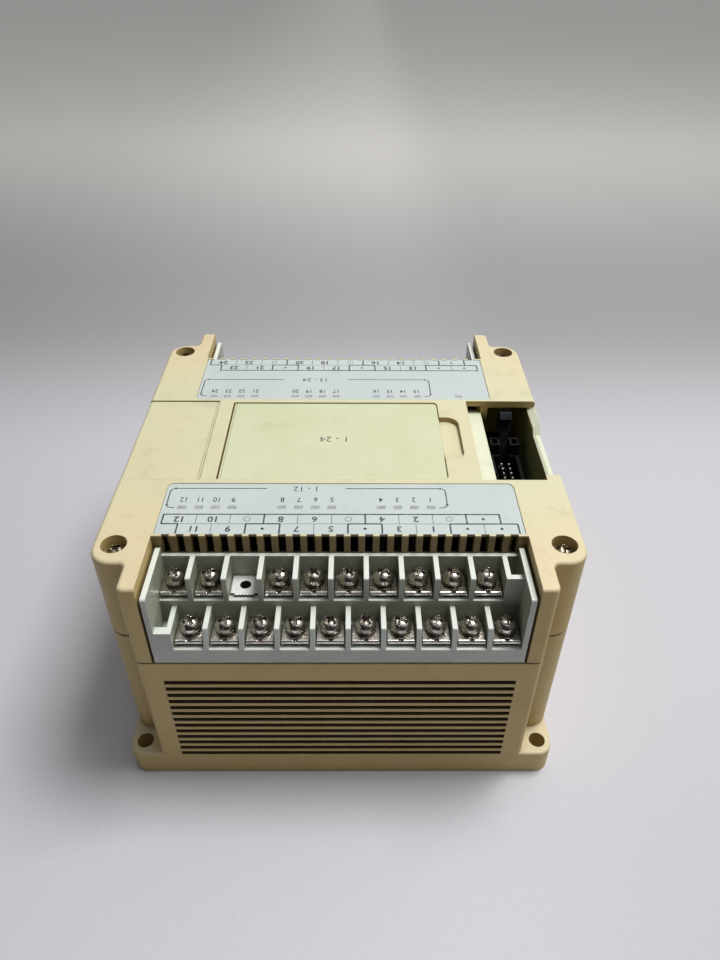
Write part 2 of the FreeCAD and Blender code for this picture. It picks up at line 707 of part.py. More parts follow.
def centre_lid():
    """The flip-up lid in the middle: rolled under at its hinge edge, with two stub pins on the hinge line."""
    x0 = LID_X[0]
    x1 = LID_X[1]
    roll = (LID_Z[1] - LID_Z[0]) / 2
    hinge_profile = [
        (x0, LID_Z[0]), (LID_PIVOT_X + 1.0, LID_Z[0]), (LID_PIVOT_X + 1.0, LID_Z[1]), (x0, LID_Z[1])
    ]
    hinge_edge = prism_y(hinge_profile, [roll, 0, 0, LID_EDGE_RADIUS], LID_Y[0], LID_Y[1])
    plate = prism_z(
        rectangle(LID_PIVOT_X, x1, LID_Y[0], LID_Y[1]), [0, 1.5, 1.5, 0], LID_Z[0], LID_Z[1]
    )
    top_edges = []
    for edge in edges_at_height(plate, LID_Z[1]):
        if edge.CenterOfMass.x > LID_PIVOT_X + 0.01:
            top_edges.append(edge)
    plate = plate.makeFillet(LID_SOFT_EDGE, top_edges)
    stubs = rod_y(
        LID_PIVOT_X, LID_PIVOT_Z, LID_Y[0] - LID_STUB_LENGTH, LID_Y[1] + LID_STUB_LENGTH, LID_STUB_RADIUS
    )
    return plate.fuse([hinge_edge, stubs]).cut(fine_line(x0 + FINE_LINE_SETBACK, LID_Z[1])).removeSplitter()


COVER_SKIRT = 2.2
COVER_LEG = 1.4
COVER_LEG_X = (-59.5, -53.5)
COVER_LEG_FOOT_Z = 73.0


def left_port_cover():
    """The lift-off cover of the left-hand port bay."""
    x_in = -(BAY_X[0] + COVER_GAP)
    x_out = -HALF_WIDTH
    y0 = BAY_Y[0] + COVER_GAP
    y1 = BAY_Y[1] - COVER_GAP
    under = COVER_TOP_Z - COVER_THICKNESS
    skirt_zone = block(x_out, x_out + COVER_SKIRT, y0, y1, BAY_SIDE_Z, COVER_TOP_Z)
    skirt = moved(mirrored_x(bay_side_cut()), 0, -0.1, COVER_GAP).common(skirt_zone)
    panel = block(x_out + COVER_SKIRT - MERGE, x_in, y0, y1, under, COVER_TOP_Z)
    foot = block(-BAY_LEDGE_X + 0.6, x_in - 0.8, y0 + 1.0, y1 - 1.0, BAY_LEDGE_Z, under + MERGE)
    leg_x0, leg_x1 = COVER_LEG_X
    front_leg = block(leg_x0, leg_x1, y0, y0 + COVER_LEG, COVER_LEG_FOOT_Z, under + MERGE)
    rear_leg = block(leg_x0, leg_x1, y1 - COVER_LEG, y1, COVER_LEG_FOOT_Z, under + MERGE)
    body = panel.fuse([skirt, foot, front_leg, rear_leg])
    body = body.cut(fine_line(x_in - FINE_LINE_SETBACK, COVER_TOP_Z)).removeSplitter()
    outer_edges = []
    for edge in edges_at_height(body, COVER_TOP_Z):
        if edge.CenterOfMass.x < x_out + 0.01:
            outer_edges.append(edge)
    return body.makeFillet(1.0, outer_edges)


def label(y_range, inner_side_first, marks):
    """A thin printed plate with a small window over each indicator."""
    y0 = y_range[0] + LABEL_GAP
    y1 = y_range[1] - LABEL_GAP
    half = LABEL_HALF_WIDTH - LABEL_GAP
    corner = LABEL_CORNER - LABEL_GAP
    if inner_side_first:
        radii = [corner, corner, 0, 0]
    else:
        radii = [0, 0, corner, corner]
    z0 = TOP_Z - LABEL_DEPTH
    sheet = prism_z(rectangle(-half, half, y0, y1), radii, z0, z0 + LABEL_THICKNESS)
    windows = [mark_block(x, y, z0 - 1, TOP_Z + 1, 0) for x, y in marks]
    return sheet.cut(windows)


# ---------------------------------------------------------------- terminal blocks

BLOCK_BOTTOM_Z = TERMINAL_BOARD_Z + BOARD_THICKNESS    # the block stands on its board
BACK_RIM_Y = 50.3
BACK_RIM_TOP_Z = 76.9
STEP_Y = 59.1
LOWER_DIVIDER_TOP_Z = 66.4
LOWER_DIVIDER_TOP_Y = 67.1   # the lower dividers lean back from the front face to here
END_PLATE_Y = 49.2
END_PLATE_TOP_Z = 79.3
LOWER_WALL_TOP_Z = 66.4      # wall across the spare pocket at the left of the lower row
LOWER_WALL_Y = 66.6
UPPER_WALL = 1.6             # thickness of the wall across the spare pocket at the right of the upper row
FOOT_TOP_Z = 56.4
FOOT_Y = 47.4
LEG_HALF_WIDTH = 0.6
LEG_BACK = 3.5               # the solder leg leaves the plate this far behind the screw
LEG_CLEARANCE = 0.12
LEG_HOLE = 0.85


def front_terminal_block():
    """The stepped two-row barrier block of the front end."""
    bottom = BLOCK_BOTTOM_Z
    profile = [
        (-HALF_DEPTH, bottom), (-FOOT_Y, bottom), (-FOOT_Y, FOOT_TOP_Z), (-RECESS_Y, FOOT_TOP_Z),
        (-RECESS_Y, BACK_RIM_TOP_Z), (-BACK_RIM_Y, BACK_RIM_TOP_Z), (-BACK_RIM_Y, UPPER_FLOOR_Z),
        (-STEP_Y, UPPER_FLOOR_Z), (-STEP_Y, LOWER_FLOOR_Z), (-HALF_DEPTH, LOWER_FLOOR_Z),
    ]
    radii = [0.5, 0, 0, 0, 0.3, 0.3, 0, 0.4, 0, 0.4]
    body = prism_x(profile, radii, -BLOCK_HALF_WIDTH, BLOCK_HALF_WIDTH)
    additions = []
    half_pocket = POCKET_WIDTH / 2
    divider = TERMINAL_PITCH - POCKET_WIDTH
    upper_divider = [
        (-STEP_Y, UPPER_FLOOR_Z - 1), (-STEP_Y, BACK_RIM_TOP_Z),
        (-RECESS_Y - 0.2, BACK_RIM_TOP_Z), (-RECESS_Y - 0.2, UPPER_FLOOR_Z - 1),
    ]
    lower_divider = [
        (-HALF_DEPTH, LOWER_FLOOR_Z - 1), (-HALF_DEPTH, LOWER_FLOOR_Z),
        (-LOWER_DIVIDER_TOP_Y, LOWER_DIVIDER_TOP_Z), (-STEP_Y + 0.5, LOWER_DIVIDER_TOP_Z),
        (-STEP_Y + 0.5, LOWER_FLOOR_Z - 1),
    ]
    for i in range(TERMINALS_PER_ROW):
        right_edge = UPPER_FIRST_X + i * TERMINAL_PITCH + half_pocket
        additions.append(
            prism_x(upper_divider, [0, 0.6, 0, 0], right_edge, right_edge + divider)
        )
        left_edge = LOWER_FIRST_X + i * TERMINAL_PITCH - half_pocket
        additions.append(
            prism_x(lower_divider, [0, 0, 0.5, 0, 0], left_edge - divider, left_edge)
        )
    spare_left = LOWER_FIRST_X - half_pocket
    additions.append(
        block(-BLOCK_HALF_WIDTH, spare_left, -HALF_DEPTH, -LOWER_WALL_Y, LOWER_FLOOR_Z - 1, LOWER_WALL_TOP_Z)
    )
    spare_right = UPPER_FIRST_X + (TERMINALS_PER_ROW - 1) * TERMINAL_PITCH + half_pocket
    additions.append(
        block(spare_right, BLOCK_HALF_WIDTH, -STEP_Y, -STEP_Y + UPPER_WALL,
              UPPER_FLOOR_Z - 1, BACK_RIM_TOP_Z)
    )
    for side in (-1, 1):
        x_edges = sorted((side * BLOCK_INNER_HALF, side * BLOCK_HALF_WIDTH))
        end_profile = [
            (-HALF_DEPTH, bottom), (-END_PLATE_Y, bottom),
            (-END_PLATE_Y, END_PLATE_TOP_Z), (-HALF_DEPTH, END_PLATE_TOP_Z),
        ]
        additions.append(prism_x(end_profile, [0.5, 0, 0.8, 0.8], x_edges[0], x_edges[1]))
    body = body.fuse(additions)
    cuts = []
    for x, y, floor_z in terminal_places():
        cuts.append(rod_z(x, y, floor_z - 2.15, floor_z + OVERRUN, THREAD_COLLAR_RADIUS + 0.12))
        cuts.append(rod_z(x, y, floor_z - 5.2, floor_z, THREAD_HOLE_RADIUS + 0.2))
        cuts.append(
            block(x - LEG_HALF_WIDTH - LEG_CLEARANCE, x + LEG_HALF_WIDTH + LEG_CLEARANCE,
                  y + LEG_BACK - PLATE_THICKNESS - LEG_CLEARANCE, y + LEG_BACK + LEG_CLEARANCE,
                  bottom - 1, floor_z + OVERRUN)
        )
    body = body.cut(cuts)
    return body.removeSplitter()


PLATE_HALF_WIDTH = 3.7
PLATE_FRONT = 3.9            # from the screw's centre to the serrated tab
PLATE_SHOULDER = 3.2         # the same, to the plain edge either side of the tab
PLATE_TAB_HALF_WIDTH = 2.7
PLATE_TEETH = 6
PLATE_TOOTH_DEPTH = 0.35


def terminal_plate():
    """A nickel-plated strip: a serrated tab in front, a threaded collar, and its bent-down leg."""
    top = PLATE_THICKNESS
    plate = block(-PLATE_HALF_WIDTH, PLATE_HALF_WIDTH, -PLATE_SHOULDER, LEG_BACK, 0, top)
    tab = block(-PLATE_TAB_HALF_WIDTH, PLATE_TAB_HALF_WIDTH, -PLATE_FRONT, 0, 0, top)
    collar = rod_z(0, 0, -THREAD_COLLAR_DEPTH, 0.1, THREAD_COLLAR_RADIUS)
    plate = plate.fuse([tab, collar])
    cuts = [rod_z(0, 0, -THREAD_COLLAR_DEPTH - 1, top + 1, THREAD_HOLE_RADIUS)]
    pitch = 2 * PLATE_TAB_HALF_WIDTH / PLATE_TEETH
    mouth_y = -PLATE_FRONT - OVERRUN
    for k in range(PLATE_TEETH):
        x = -PLATE_TAB_HALF_WIDTH + pitch * (k + 0.5)
        reach_y = -PLATE_FRONT + PLATE_TOOTH_DEPTH
        notch = [(x - pitch * 0.3, mouth_y), (x + pitch * 0.3, mouth_y), (x, reach_y)]
        cuts.append(prism_z(notch, [0, 0, 0], -1, top + 1))
    return plate.cut(cuts).removeSplitter()


def leg(floor_z):
    """The solder leg from a plate down to the terminal board."""
    return block(
        -LEG_HALF_WIDTH, LEG_HALF_WIDTH, LEG_BACK - PLATE_THICKNESS, LEG_BACK, LEG_TIP_Z - floor_z, OVERRUN
    )


CLAMP_HALF_WIDTH = 3.65
CLAMP_Y = (-4.4, 3.3)
CLAMP_ROUNDING = 0.6
CLAMP_NICK = (0.9, 0.5)      # half width and depth of the nick in the middle of its front edge
CLAMP_NICK_REACH = 1.1
SPRING_RADIUS = 2.75


def clamp_washer():
    """A thick square washer with rounded front and rear edges and a nick in front."""
    outline = rectangle(CLAMP_Y[0], CLAMP_Y[1], 0, CLAMP_THICKNESS)
    radii = [CLAMP_ROUNDING, CLAMP_ROUNDING, CLAMP_ROUNDING, CLAMP_ROUNDING]
    washer = prism_x(outline, radii, -CLAMP_HALF_WIDTH, CLAMP_HALF_WIDTH)
    half, depth = CLAMP_NICK
    top = CLAMP_THICKNESS
    nick = prism_y(
        [(0, top - depth), (half, top + OVERRUN), (-half, top + OVERRUN)], [0, 0, 0],
        CLAMP_Y[0] - 1, CLAMP_Y[0] + CLAMP_NICK_REACH,
    )
    return washer.cut([rod_z(0, 0, -1, 3, WASHER_HOLE_RADIUS), nick])


def spring_washer():
    """A split ring."""
    ring = rod_z(0, 0, 0, SPRING_THICKNESS, SPRING_RADIUS).cut(rod_z(0, 0, -1, 2, WASHER_HOLE_RADIUS))
    gap = block(-0.25, 0.25, 0, 4, -1, 2)
    gap.rotate(ORIGIN, ALONG_Z, 25)
    return ring.cut(gap)


RECESS_HALF_SLOT = 0.58
RECESS_FLOOR = 0.3           # as a share of the head's height
RECESS_FOOT = 0.4            # half length at the floor, as a share of the head's radius
RECESS_REACH = 0.95          # the same, one millimetre above the head


def pan_screw(head_radius, head_height, shank_depth, angle):
    """A domed screw with a cross recess; its head sits on height zero."""
    skirt = head_height * 0.42
    profile = Part.Wire([
        Part.makeLine(FreeCAD.Vector(0, 0, 0), FreeCAD.Vector(head_radius, 0, 0)),
        Part.makeLine(FreeCAD.Vector(head_radius, 0, 0), FreeCAD.Vector(head_radius, 0, skirt)),
        Part.Arc(
            FreeCAD.Vector(head_radius, 0, skirt),
            FreeCAD.Vector(head_radius * 0.68, 0, skirt + (head_height - skirt) * 0.74),
            FreeCAD.Vector(0, 0, head_height),
        ).toShape(),
        Part.makeLine(FreeCAD.Vector(0, 0, head_height), FreeCAD.Vector(0, 0, 0)),
    ])
    head = Part.Face(profile).revolve(ORIGIN, ALONG_Z, 360)
    shank = rod_z(0, 0, -shank_depth, 0.2, SHANK_RADIUS)
    screw = head.fuse(shank)
    recess_floor = head_height * RECESS_FLOOR
    recess_top = head_height + 1
    foot = head_radius * RECESS_FOOT
    reach = head_radius * RECESS_REACH
    wing = prism_y(
        [(-foot, recess_floor), (foot, recess_floor), (reach, recess_top), (-reach, recess_top)],
        [0, 0, 0, 0], -RECESS_HALF_SLOT, RECESS_HALF_SLOT,
    )
    other_wing = wing.copy()
    other_wing.rotate(ORIGIN, ALONG_Z, 90)
    recess = wing.fuse(other_wing)
    recess.rotate(ORIGIN, ALONG_Z, angle)
    return screw.cut(recess).removeSplitter()


def place_terminals(make_piece, skip_bare, lift):
    """One piece on every terminal of both blocks; the bare terminal can be left without."""
    pieces = []
    index = 0
    for x, y, floor_z in terminal_places():
        if not (skip_bare and index == BARE_TERMINAL):
            pieces.append(moved(make_piece(index, floor_z), x, y, floor_z + lift))
        index += 1
    for x, y, floor_z in terminal_places():
        pieces.append(half_turn(moved(make_piece(index, floor_z), x, y, floor_z + lift)))
        index += 1
    return Part.Compound(pieces)


def terminal_plates():
    """All the terminal plates with their legs."""
    plain = terminal_plate()
    upper = plain.fuse(leg(UPPER_FLOOR_Z)).removeSplitter()
    lower = plain.fuse(leg(LOWER_FLOOR_Z)).removeSplitter()

    def pick(index, floor_z):
        return upper if floor_z == UPPER_FLOOR_Z else lower

    return place_terminals(pick, False, 0)


def clamp_washers():
    """A clamp washer under every screw."""
    washer = clamp_washer()
    return place_terminals(lambda index, floor_z: washer, True, PLATE_THICKNESS)


def spring_washers():
    """A split spring washer under every screw head."""
    washer = spring_washer()
    return place_terminals(lambda index, floor_z: washer, True, PLATE_THICKNESS + CLAMP_THICKNESS)


SCREW_ANGLES = (12, 48, 75, 30, 5, 62, 84, 21, 39, 55)


def terminal_screws():
    """The terminal screws, each left at its own angle by the last screwdriver."""
    kinds = {}
    for angle in SCREW_ANGLES:
        kinds[angle] = pan_screw(
            TERMINAL_HEAD_RADIUS, TERMINAL_HEAD_HEIGHT,
            TERMINAL_SHANK_DEPTH + PLATE_THICKNESS + CLAMP_THICKNESS + SPRING_THICKNESS, angle,
        )

    def pick(index, floor_z):
        return kinds[SCREW_ANGLES[(index * 7 + 3) % len(SCREW_ANGLES)]]

    return place_terminals(pick, True, PLATE_THICKNESS + CLAMP_THICKNESS + SPRING_THICKNESS)


CASE_SCREW_ANGLES = (20, 65, 40, 80)


def case_screws():
    """Four long screws that hold the two case halves together."""
    screws = []
    for (x, y), angle in zip(case_screw_places(), CASE_SCREW_ANGLES):
        screw = pan_screw(
            CASE_SCREW_HEAD[0], CASE_SCREW_HEAD[1], CASE_SCREW_SEAT_Z - CASE_SCREW_END_Z, angle
        )
        screws.append(moved(screw, x, y, CASE_SCREW_SEAT_Z))
    return Part.Compound(screws)


# ---------------------------------------------------------------- bus header and its levers

def header_pin_places():
    """The two rows of header pins."""
    places = []
    for row in (-1, 1):
        for k in range(PIN_PAIRS):
            y = HEADER_Y + (k - (PIN_PAIRS - 1) / 2) * PIN_PITCH
            places.append((HEADER_X + row * PIN_PITCH / 2, y))
    return places


LOGIC_BOARD_TOP = LOGIC_BOARD_Z + BOARD_THICKNESS
HEADER_FLOOR_Z = 59.6
HEADER_WALL = 1.2
TOWER_WALL = 0.8
TOWER_POCKET_Z = 66.0


def bus_header():
    """The keyed box header with a slotted tower at each end for its levers."""
    x0 = HEADER_X - HEADER_HALF_WIDTH
    x1 = HEADER_X + HEADER_HALF_WIDTH
    body = block(x0, x1, HEADER_Y - TOWER_Y[1], HEADER_Y + TOWER_Y[1], LOGIC_BOARD_TOP, HEADER_FLOOR_Z - 1.0)
    shroud = block(
        x0, x1, HEADER_Y - HEADER_HALF_LENGTH, HEADER_Y + HEADER_HALF_LENGTH, LOGIC_BOARD_TOP, HEADER_TOP_Z
    )
    additions = [shroud]
    for end in (-1, 1):
        y_edges = sorted((HEADER_Y + end * TOWER_Y[0], HEADER_Y + end * TOWER_Y[1]))
        additions.append(block(x0, x1, y_edges[0], y_edges[1], LOGIC_BOARD_TOP, TOWER_TOP_Z))
    body = body.fuse(additions)
    cavity_half = HEADER_HALF_LENGTH - 2.1
    cuts = [
        block(x0 + HEADER_WALL, x1 - HEADER_WALL, HEADER_Y - cavity_half, HEADER_Y + cavity_half,
              HEADER_FLOOR_Z, HEADER_TOP_Z + 1),
        block(x0 - 1, x0 + HEADER_WALL + 0.5, HEADER_Y - 2.25, HEADER_Y + 2.25, 61.0, HEADER_TOP_Z + 1),
    ]
    for end in (-1, 1):
        y_edges = sorted((HEADER_Y + end * (cavity_half - 0.5), HEADER_Y + end * (TOWER_Y[1] + 1)))
        cuts.append(
            block(HEADER_X - TOWER_SLOT_HALF, HEADER_X + TOWER_SLOT_HALF, y_edges[0], y_edges[1],
                  HEADER_FLOOR_Z - 1.0, TOWER_TOP_Z + 1)
        )
        for side in (-1, 1):
            pocket_x = sorted((
                HEADER_X + side * (HEADER_HALF_WIDTH - TOWER_WALL),
                HEADER_X + side * (TOWER_SLOT_HALF + TOWER_WALL),
            ))
            pocket_y = sorted((
                HEADER_Y + end * (TOWER_Y[0] + TOWER_WALL), HEADER_Y + end * (TOWER_Y[1] - TOWER_WALL)
            ))
            cuts.append(
                block(pocket_x[0], pocket_x[1], pocket_y[0], pocket_y[1], TOWER_POCKET_Z, TOWER_TOP_Z + 1)
            )
        cuts.append(
            rod_x(HEADER_Y + end * LEVER_PIVOT_Y, LEVER_PIVOT_Z,
                  HEADER_X - TOWER_SLOT_HALF - 1.2, HEADER_X + TOWER_SLOT_HALF + 1.2, LEVER_SOCKET_RADIUS)
        )
    for x, y in header_pin_places():
        cuts.append(rod_z(x, y, LOGIC_BOARD_TOP - 1, HEADER_FLOOR_Z + 1, 0.5))
    return body.cut(cuts).removeSplitter()


def pointed(middle):
    """The outline of a contact pin with its tip narrowed on both sides."""
    tip = PIN_HALF - PIN_CHAMFER
    neck = PIN_TIP_Z - 1.5 * PIN_CHAMFER
    return [
        (middle - PIN_HALF, PIN_BOTTOM_Z), (middle + PIN_HALF, PIN_BOTTOM_Z), (middle + PIN_HALF, neck),
        (middle + tip, PIN_TIP_Z), (middle - tip, PIN_TIP_Z), (middle - PIN_HALF, neck),
    ]


def bus_header_pins():
    """Square contact pins, through the header floor and the board."""
    pins = []
    for x, y in header_pin_places():
        pins.append(
            prism_x(pointed(y), [0] * 6, x - PIN_HALF, x + PIN_HALF).common(
                prism_y(pointed(x), [0] * 6, y - PIN_HALF, y + PIN_HALF)
            )
        )
    return Part.Compound(pins)


def ejector(end):
    """A latch lever of the bus header, drawn upright and then leaned open about its pin."""
    half_slim = LEVER_HALF_WIDTHS[0]
    half_wide = LEVER_HALF_WIDTHS[1]
    pivot_y = HEADER_Y + end * LEVER_PIVOT_Y
    wide_from = 10.9

    def side(distance):
        return pivot_y + end * distance

    def profile(points):
        placed = [(side(out), LEVER_PIVOT_Z + up) for out, up in points]
        return placed if end > 0 else placed[::-1]

    stem_points = [(-1.3, -2.2), (1.3, -2.2), (1.4, wide_from + 0.5), (-1.2, wide_from + 0.5)]
    foot_points = [(-3.1, -2.2), (-1.0, -2.2), (-1.0, -0.8), (-3.1, -1.3)]
    head_points = [
        (-1.2, wide_from), (1.4, wide_from), (1.5, LEVER_LENGTH - 1.5), (1.2, LEVER_LENGTH),
        (-2.6, LEVER_LENGTH), (-3.4, LEVER_LENGTH - 2.6), (-1.3, LEVER_LENGTH - 3.4),
    ]
    stem = prism_x(profile(stem_points), [0.5, 0.5, 0, 0] if end > 0 else [0, 0, 0.5, 0.5],
                   HEADER_X - half_slim, HEADER_X + half_slim)
    foot = prism_x(profile(foot_points), [0] * 4, HEADER_X - half_slim, HEADER_X + half_slim)
    head = prism_x(profile(head_points), [0.4] * 7, HEADER_X - half_wide, HEADER_X + half_wide)
    pin_half = TOWER_SLOT_HALF + 0.85
    pin = rod_x(pivot_y, LEVER_PIVOT_Z, HEADER_X - pin_half, HEADER_X + pin_half, LEVER_PIN_RADIUS)
    lever = stem.fuse([foot, head, pin]).removeSplitter()
    lever.rotate(FreeCAD.Vector(HEADER_X, pivot_y, LEVER_PIVOT_Z), ALONG_X, -end * LEVER_LEAN)
    return lever


# ---------------------------------------------------------------- boards and what they carry

LOGIC_BOARD_HALF = (61.5, 45.8)
RELAY_BOARD_HALF = (62.5, 46.5)
RELAY_BOARD_TONGUE_HALF = (50.0, 51.0)
RELAY_BOARD_TOP = RELAY_BOARD_Z + BOARD_THICKNESS
TERMINAL_BOARD_TOP = TERMINAL_BOARD_Z + BOARD_THICKNESS
TERMINAL_BOARD_HALF_WIDTH = 53.0
TERMINAL_BOARD_Y = (-66.3, -46.6)
BOARD_SCREW_HOLE = 1.6
LINK_HOLE = 0.5
LINK_PIN_PAIRS = 12
LINK_PIN_FIRST = (7.0, -5.0)
SOLDER_END = 1.2             # how far soldered wires stick out below a board


def drill(board, places, z, radius):
    """The board with a round hole at each place; z is its lower face."""
    holes = [rod_z(x, y, z - 1, z + BOARD_THICKNESS + 1, radius) for x, y in places]
    return board.cut(holes)


def logic_board():
    """The upper board: indicators, chips and the bus header."""
    half_x, half_y = LOGIC_BOARD_HALF
    board = rounded_block(-half_x, half_x, -half_y, half_y, LOGIC_BOARD_Z, LOGIC_BOARD_TOP, 1.0)
    board = drill(board, header_pin_places() + logic_link_places(), LOGIC_BOARD_Z, LINK_HOLE)
    return drill(board, four_corners(STANDOFF_X, STANDOFF_Y), LOGIC_BOARD_Z, BOARD_SCREW_HOLE)


def logic_link_places():
    """The pin strip that joins the logic board to the relay board."""
    places = []
    first_x, first_y = LINK_PIN_FIRST
    for k in range(LINK_PIN_PAIRS):
        places.append((first_x + k * PIN_PITCH, first_y))
        places.append((first_x + k * PIN_PITCH, first_y + PIN_PITCH))
    return places


def logic_link_pins():
    """Long round pins between the two main boards."""
    pins = []
    for x, y in logic_link_places():
        pins.append(rod_z(x, y, RELAY_BOARD_Z - SOLDER_END, LOGIC_BOARD_TOP + 0.8, LINK_RADIUS))
    return Part.Compound(pins)


def chip(x, y, width, depth, legs):
    """A small moulded package on two rows of legs."""
    body = block(x - width / 2, x + width / 2, y - depth / 2, y + depth / 2,
                 LOGIC_BOARD_TOP + 0.3, LOGIC_BOARD_TOP + 2.4)
    pitch = width / legs
    parts = [body]
    for k in range(legs):
        leg_x = x - width / 2 + pitch * (k + 0.5)
        parts.append(
            block(leg_x - 0.2, leg_x + 0.2, y - depth / 2 - 0.9, y + depth / 2 + 0.9,
                  LOGIC_BOARD_TOP, LOGIC_BOARD_TOP + 0.9)
        )
    return parts[0].fuse(parts[1:]).removeSplitter()


WIDE_CHIP = (18.0, 7.5, 10)      # width, depth, legs on each side
NARROW_CHIP = (12.6, 5.4, 8)
WIDE_CHIP_PLACES = ((-22.0, 3.0), (-22.0, -11.0))
NARROW_CHIP_PLACES = ((0.0, -14.0), (0.0, 8.0), (20.0, 8.0))


def logic_chips():
    """Latches and driver arrays on the logic board."""
    chips = []
    for x, y in WIDE_CHIP_PLACES:
        chips.append(chip(x, y, WIDE_CHIP[0], WIDE_CHIP[1], WIDE_CHIP[2]))
    for x, y in NARROW_CHIP_PLACES:
        chips.append(chip(x, y, NARROW_CHIP[0], NARROW_CHIP[1], NARROW_CHIP[2]))
    return Part.Compound(chips)


def indicators(marks):
    """Small indicator lamps standing on the logic board, one under each mark."""
    lamps = []
    for x, y in marks:
        lamp = block(x - 1.3, x + 1.3, y - 0.8, y + 0.8, LOGIC_BOARD_TOP, LOGIC_BOARD_TOP + 1.9)
        lamps.append(lamp.makeFillet(0.3, edges_at_height(lamp, LOGIC_BOARD_TOP + 1.9)))
    return Part.Compound(lamps)


PIPE_STRIP_Y = (0.7, 2.4)    # how far the strip reaches to the front and to the rear of the bars
PIPE_STRIP_Z = (78.2, 79.8)
PIPE_TOP_Z = TOP_Z - LABEL_DEPTH + LABEL_THICKNESS - 0.02
PIPE_GAP = 0.05


def light_pipes(marks):
    """Clear bars that carry each lamp's light to the label, held by one cross strip."""
    bars = []
    for x, y in marks:
        bars.append(mark_block(x, y, LOGIC_BOARD_TOP + 2.2, PIPE_TOP_Z, -PIPE_GAP))
    xs = [x for x, y in marks]
    y = marks[0][1]
    reach = MARK_SIZE[0] / 2
    strip = block(
        min(xs) - reach, max(xs) + reach, y - PIPE_STRIP_Y[0], y + PIPE_STRIP_Y[1],
        PIPE_STRIP_Z[0], PIPE_STRIP_Z[1],
    )
    return strip.fuse(bars).removeSplitter()


def plate_leg_places():
    """Where the front block's solder legs pass the terminal board."""
    return [(x, y + LEG_BACK - PLATE_THICKNESS / 2) for x, y, floor_z in terminal_places()]


def link_places():
    """Where the link wires of the front terminals run down."""
    return [(x, -LINK_Y) for x, y, floor_z in terminal_places()]


def front_terminal_board():
    """The narrow board under the front block."""
    board = block(
        -TERMINAL_BOARD_HALF_WIDTH, TERMINAL_BOARD_HALF_WIDTH, TERMINAL_BOARD_Y[0], TERMINAL_BOARD_Y[1],
        TERMINAL_BOARD_Z, TERMINAL_BOARD_TOP,
    )
    board = drill(board, plate_leg_places(), TERMINAL_BOARD_Z, LEG_HOLE)
    return drill(board, link_places(), TERMINAL_BOARD_Z, LINK_HOLE)


def front_link_wires():
    """Stiff tinned wires from the terminal board down to the relay board."""
    wires = []
    for x, y in link_places():
        wires.append(rod_z(x, y, RELAY_BOARD_Z - SOLDER_END, TERMINAL_BOARD_TOP - 0.1, LINK_RADIUS))
    return Part.Compound(wires)


def relay_board():
    """The lower board, with tongues under the terminal boards."""
    half_x, half_y = RELAY_BOARD_HALF
    tongue_x, tongue_y = RELAY_BOARD_TONGUE_HALF
    board = block(-half_x, half_x, -half_y, half_y, RELAY_BOARD_Z, RELAY_BOARD_TOP)
    tongues = block(-tongue_x, tongue_x, -tongue_y, tongue_y, RELAY_BOARD_Z, RELAY_BOARD_TOP)
    board = board.fuse(tongues).removeSplitter()
    rear_places = [(-x, -y) for x, y in link_places()]
    board = drill(board, link_places() + rear_places + logic_link_places(), RELAY_BOARD_Z, LINK_HOLE)
    return drill(board, four_corners(STANDOFF_X, STANDOFF_Y), RELAY_BOARD_Z, BOARD_SCREW_HOLE)


def relays():
    """Sealed cube relays in four rows."""
    half_x = RELAY_SIZE[0] / 2
    half_y = RELAY_SIZE[1] / 2
    top = RELAY_BOARD_TOP + RELAY_SIZE[2]
    cube = block(-half_x, half_x, -half_y, half_y, RELAY_BOARD_TOP, top)
    cube = cube.makeFillet(0.6, edges_at_height(cube, top))
    pieces = []
    for y in RELAY_ROWS_Y:
        for column in range(RELAY_COLUMNS):
            x = (column - (RELAY_COLUMNS - 1) / 2) * RELAY_PITCH_X
            pieces.append(moved(cube, x, y, 0))
    return Part.Compound(pieces)


COIL_X = -28.0
COIL_RADIUS = 7.0
COIL_CHEEK = 1.2             # thickness and reach of the bobbin's end plates
CORE_HALF_WIDTH = 11.0
CORE_HALF_DEPTH = 5.0
CORE_Z = (14.6, 32.6)
CORE_LIMB = 2.5
CORE_YOKE = 3.0
CORE_LEG_RADIUS = 3.4
BOBBIN_Z = (17.9, 29.3)
BOBBIN_FOOT_Y = (5.4, 9.5)
BOBBIN_FOOT_HALF = 7.0


def transformer_core():
    """Two ferrite E halves closed round the winding."""
    z0, z1 = CORE_Z
    half = CORE_HALF_WIDTH
    frame = block(COIL_X - half, COIL_X + half, -CORE_HALF_DEPTH, CORE_HALF_DEPTH, z0, z1)
    window = block(
        COIL_X - half + CORE_LIMB, COIL_X + half - CORE_LIMB, -CORE_HALF_DEPTH - 1, CORE_HALF_DEPTH + 1,
        z0 + CORE_YOKE, z1 - CORE_YOKE,
    )
    leg_bar = rod_z(COIL_X, 0, z0 + 2, z1 - 2, CORE_LEG_RADIUS)
    return frame.cut(window).fuse(leg_bar).removeSplitter()


def transformer_winding():
    """Wound coil on its bobbin round the middle leg."""
    z0, z1 = BOBBIN_Z
    coil = rod_z(COIL_X, 0, z0 + 1, z1 - 1, COIL_RADIUS)
    lower = rod_z(COIL_X, 0, z0, z0 + COIL_CHEEK, COIL_RADIUS + COIL_CHEEK)
    upper = rod_z(COIL_X, 0, z1 - COIL_CHEEK, z1, COIL_RADIUS + COIL_CHEEK)
    near, far = BOBBIN_FOOT_Y
    x0 = COIL_X - BOBBIN_FOOT_HALF
    x1 = COIL_X + BOBBIN_FOOT_HALF
    front_foot = block(x0, x1, -far, -near, RELAY_BOARD_TOP, z0 + COIL_CHEEK)
    rear_foot = block(x0, x1, near, far, RELAY_BOARD_TOP, z0 + COIL_CHEEK)
    bobbin = coil.fuse([lower, upper, front_foot, rear_foot])
    return bobbin.cut(rod_z(COIL_X, 0, z0 - 1, z1 + 1, CORE_LEG_RADIUS + 0.2)).removeSplitter()


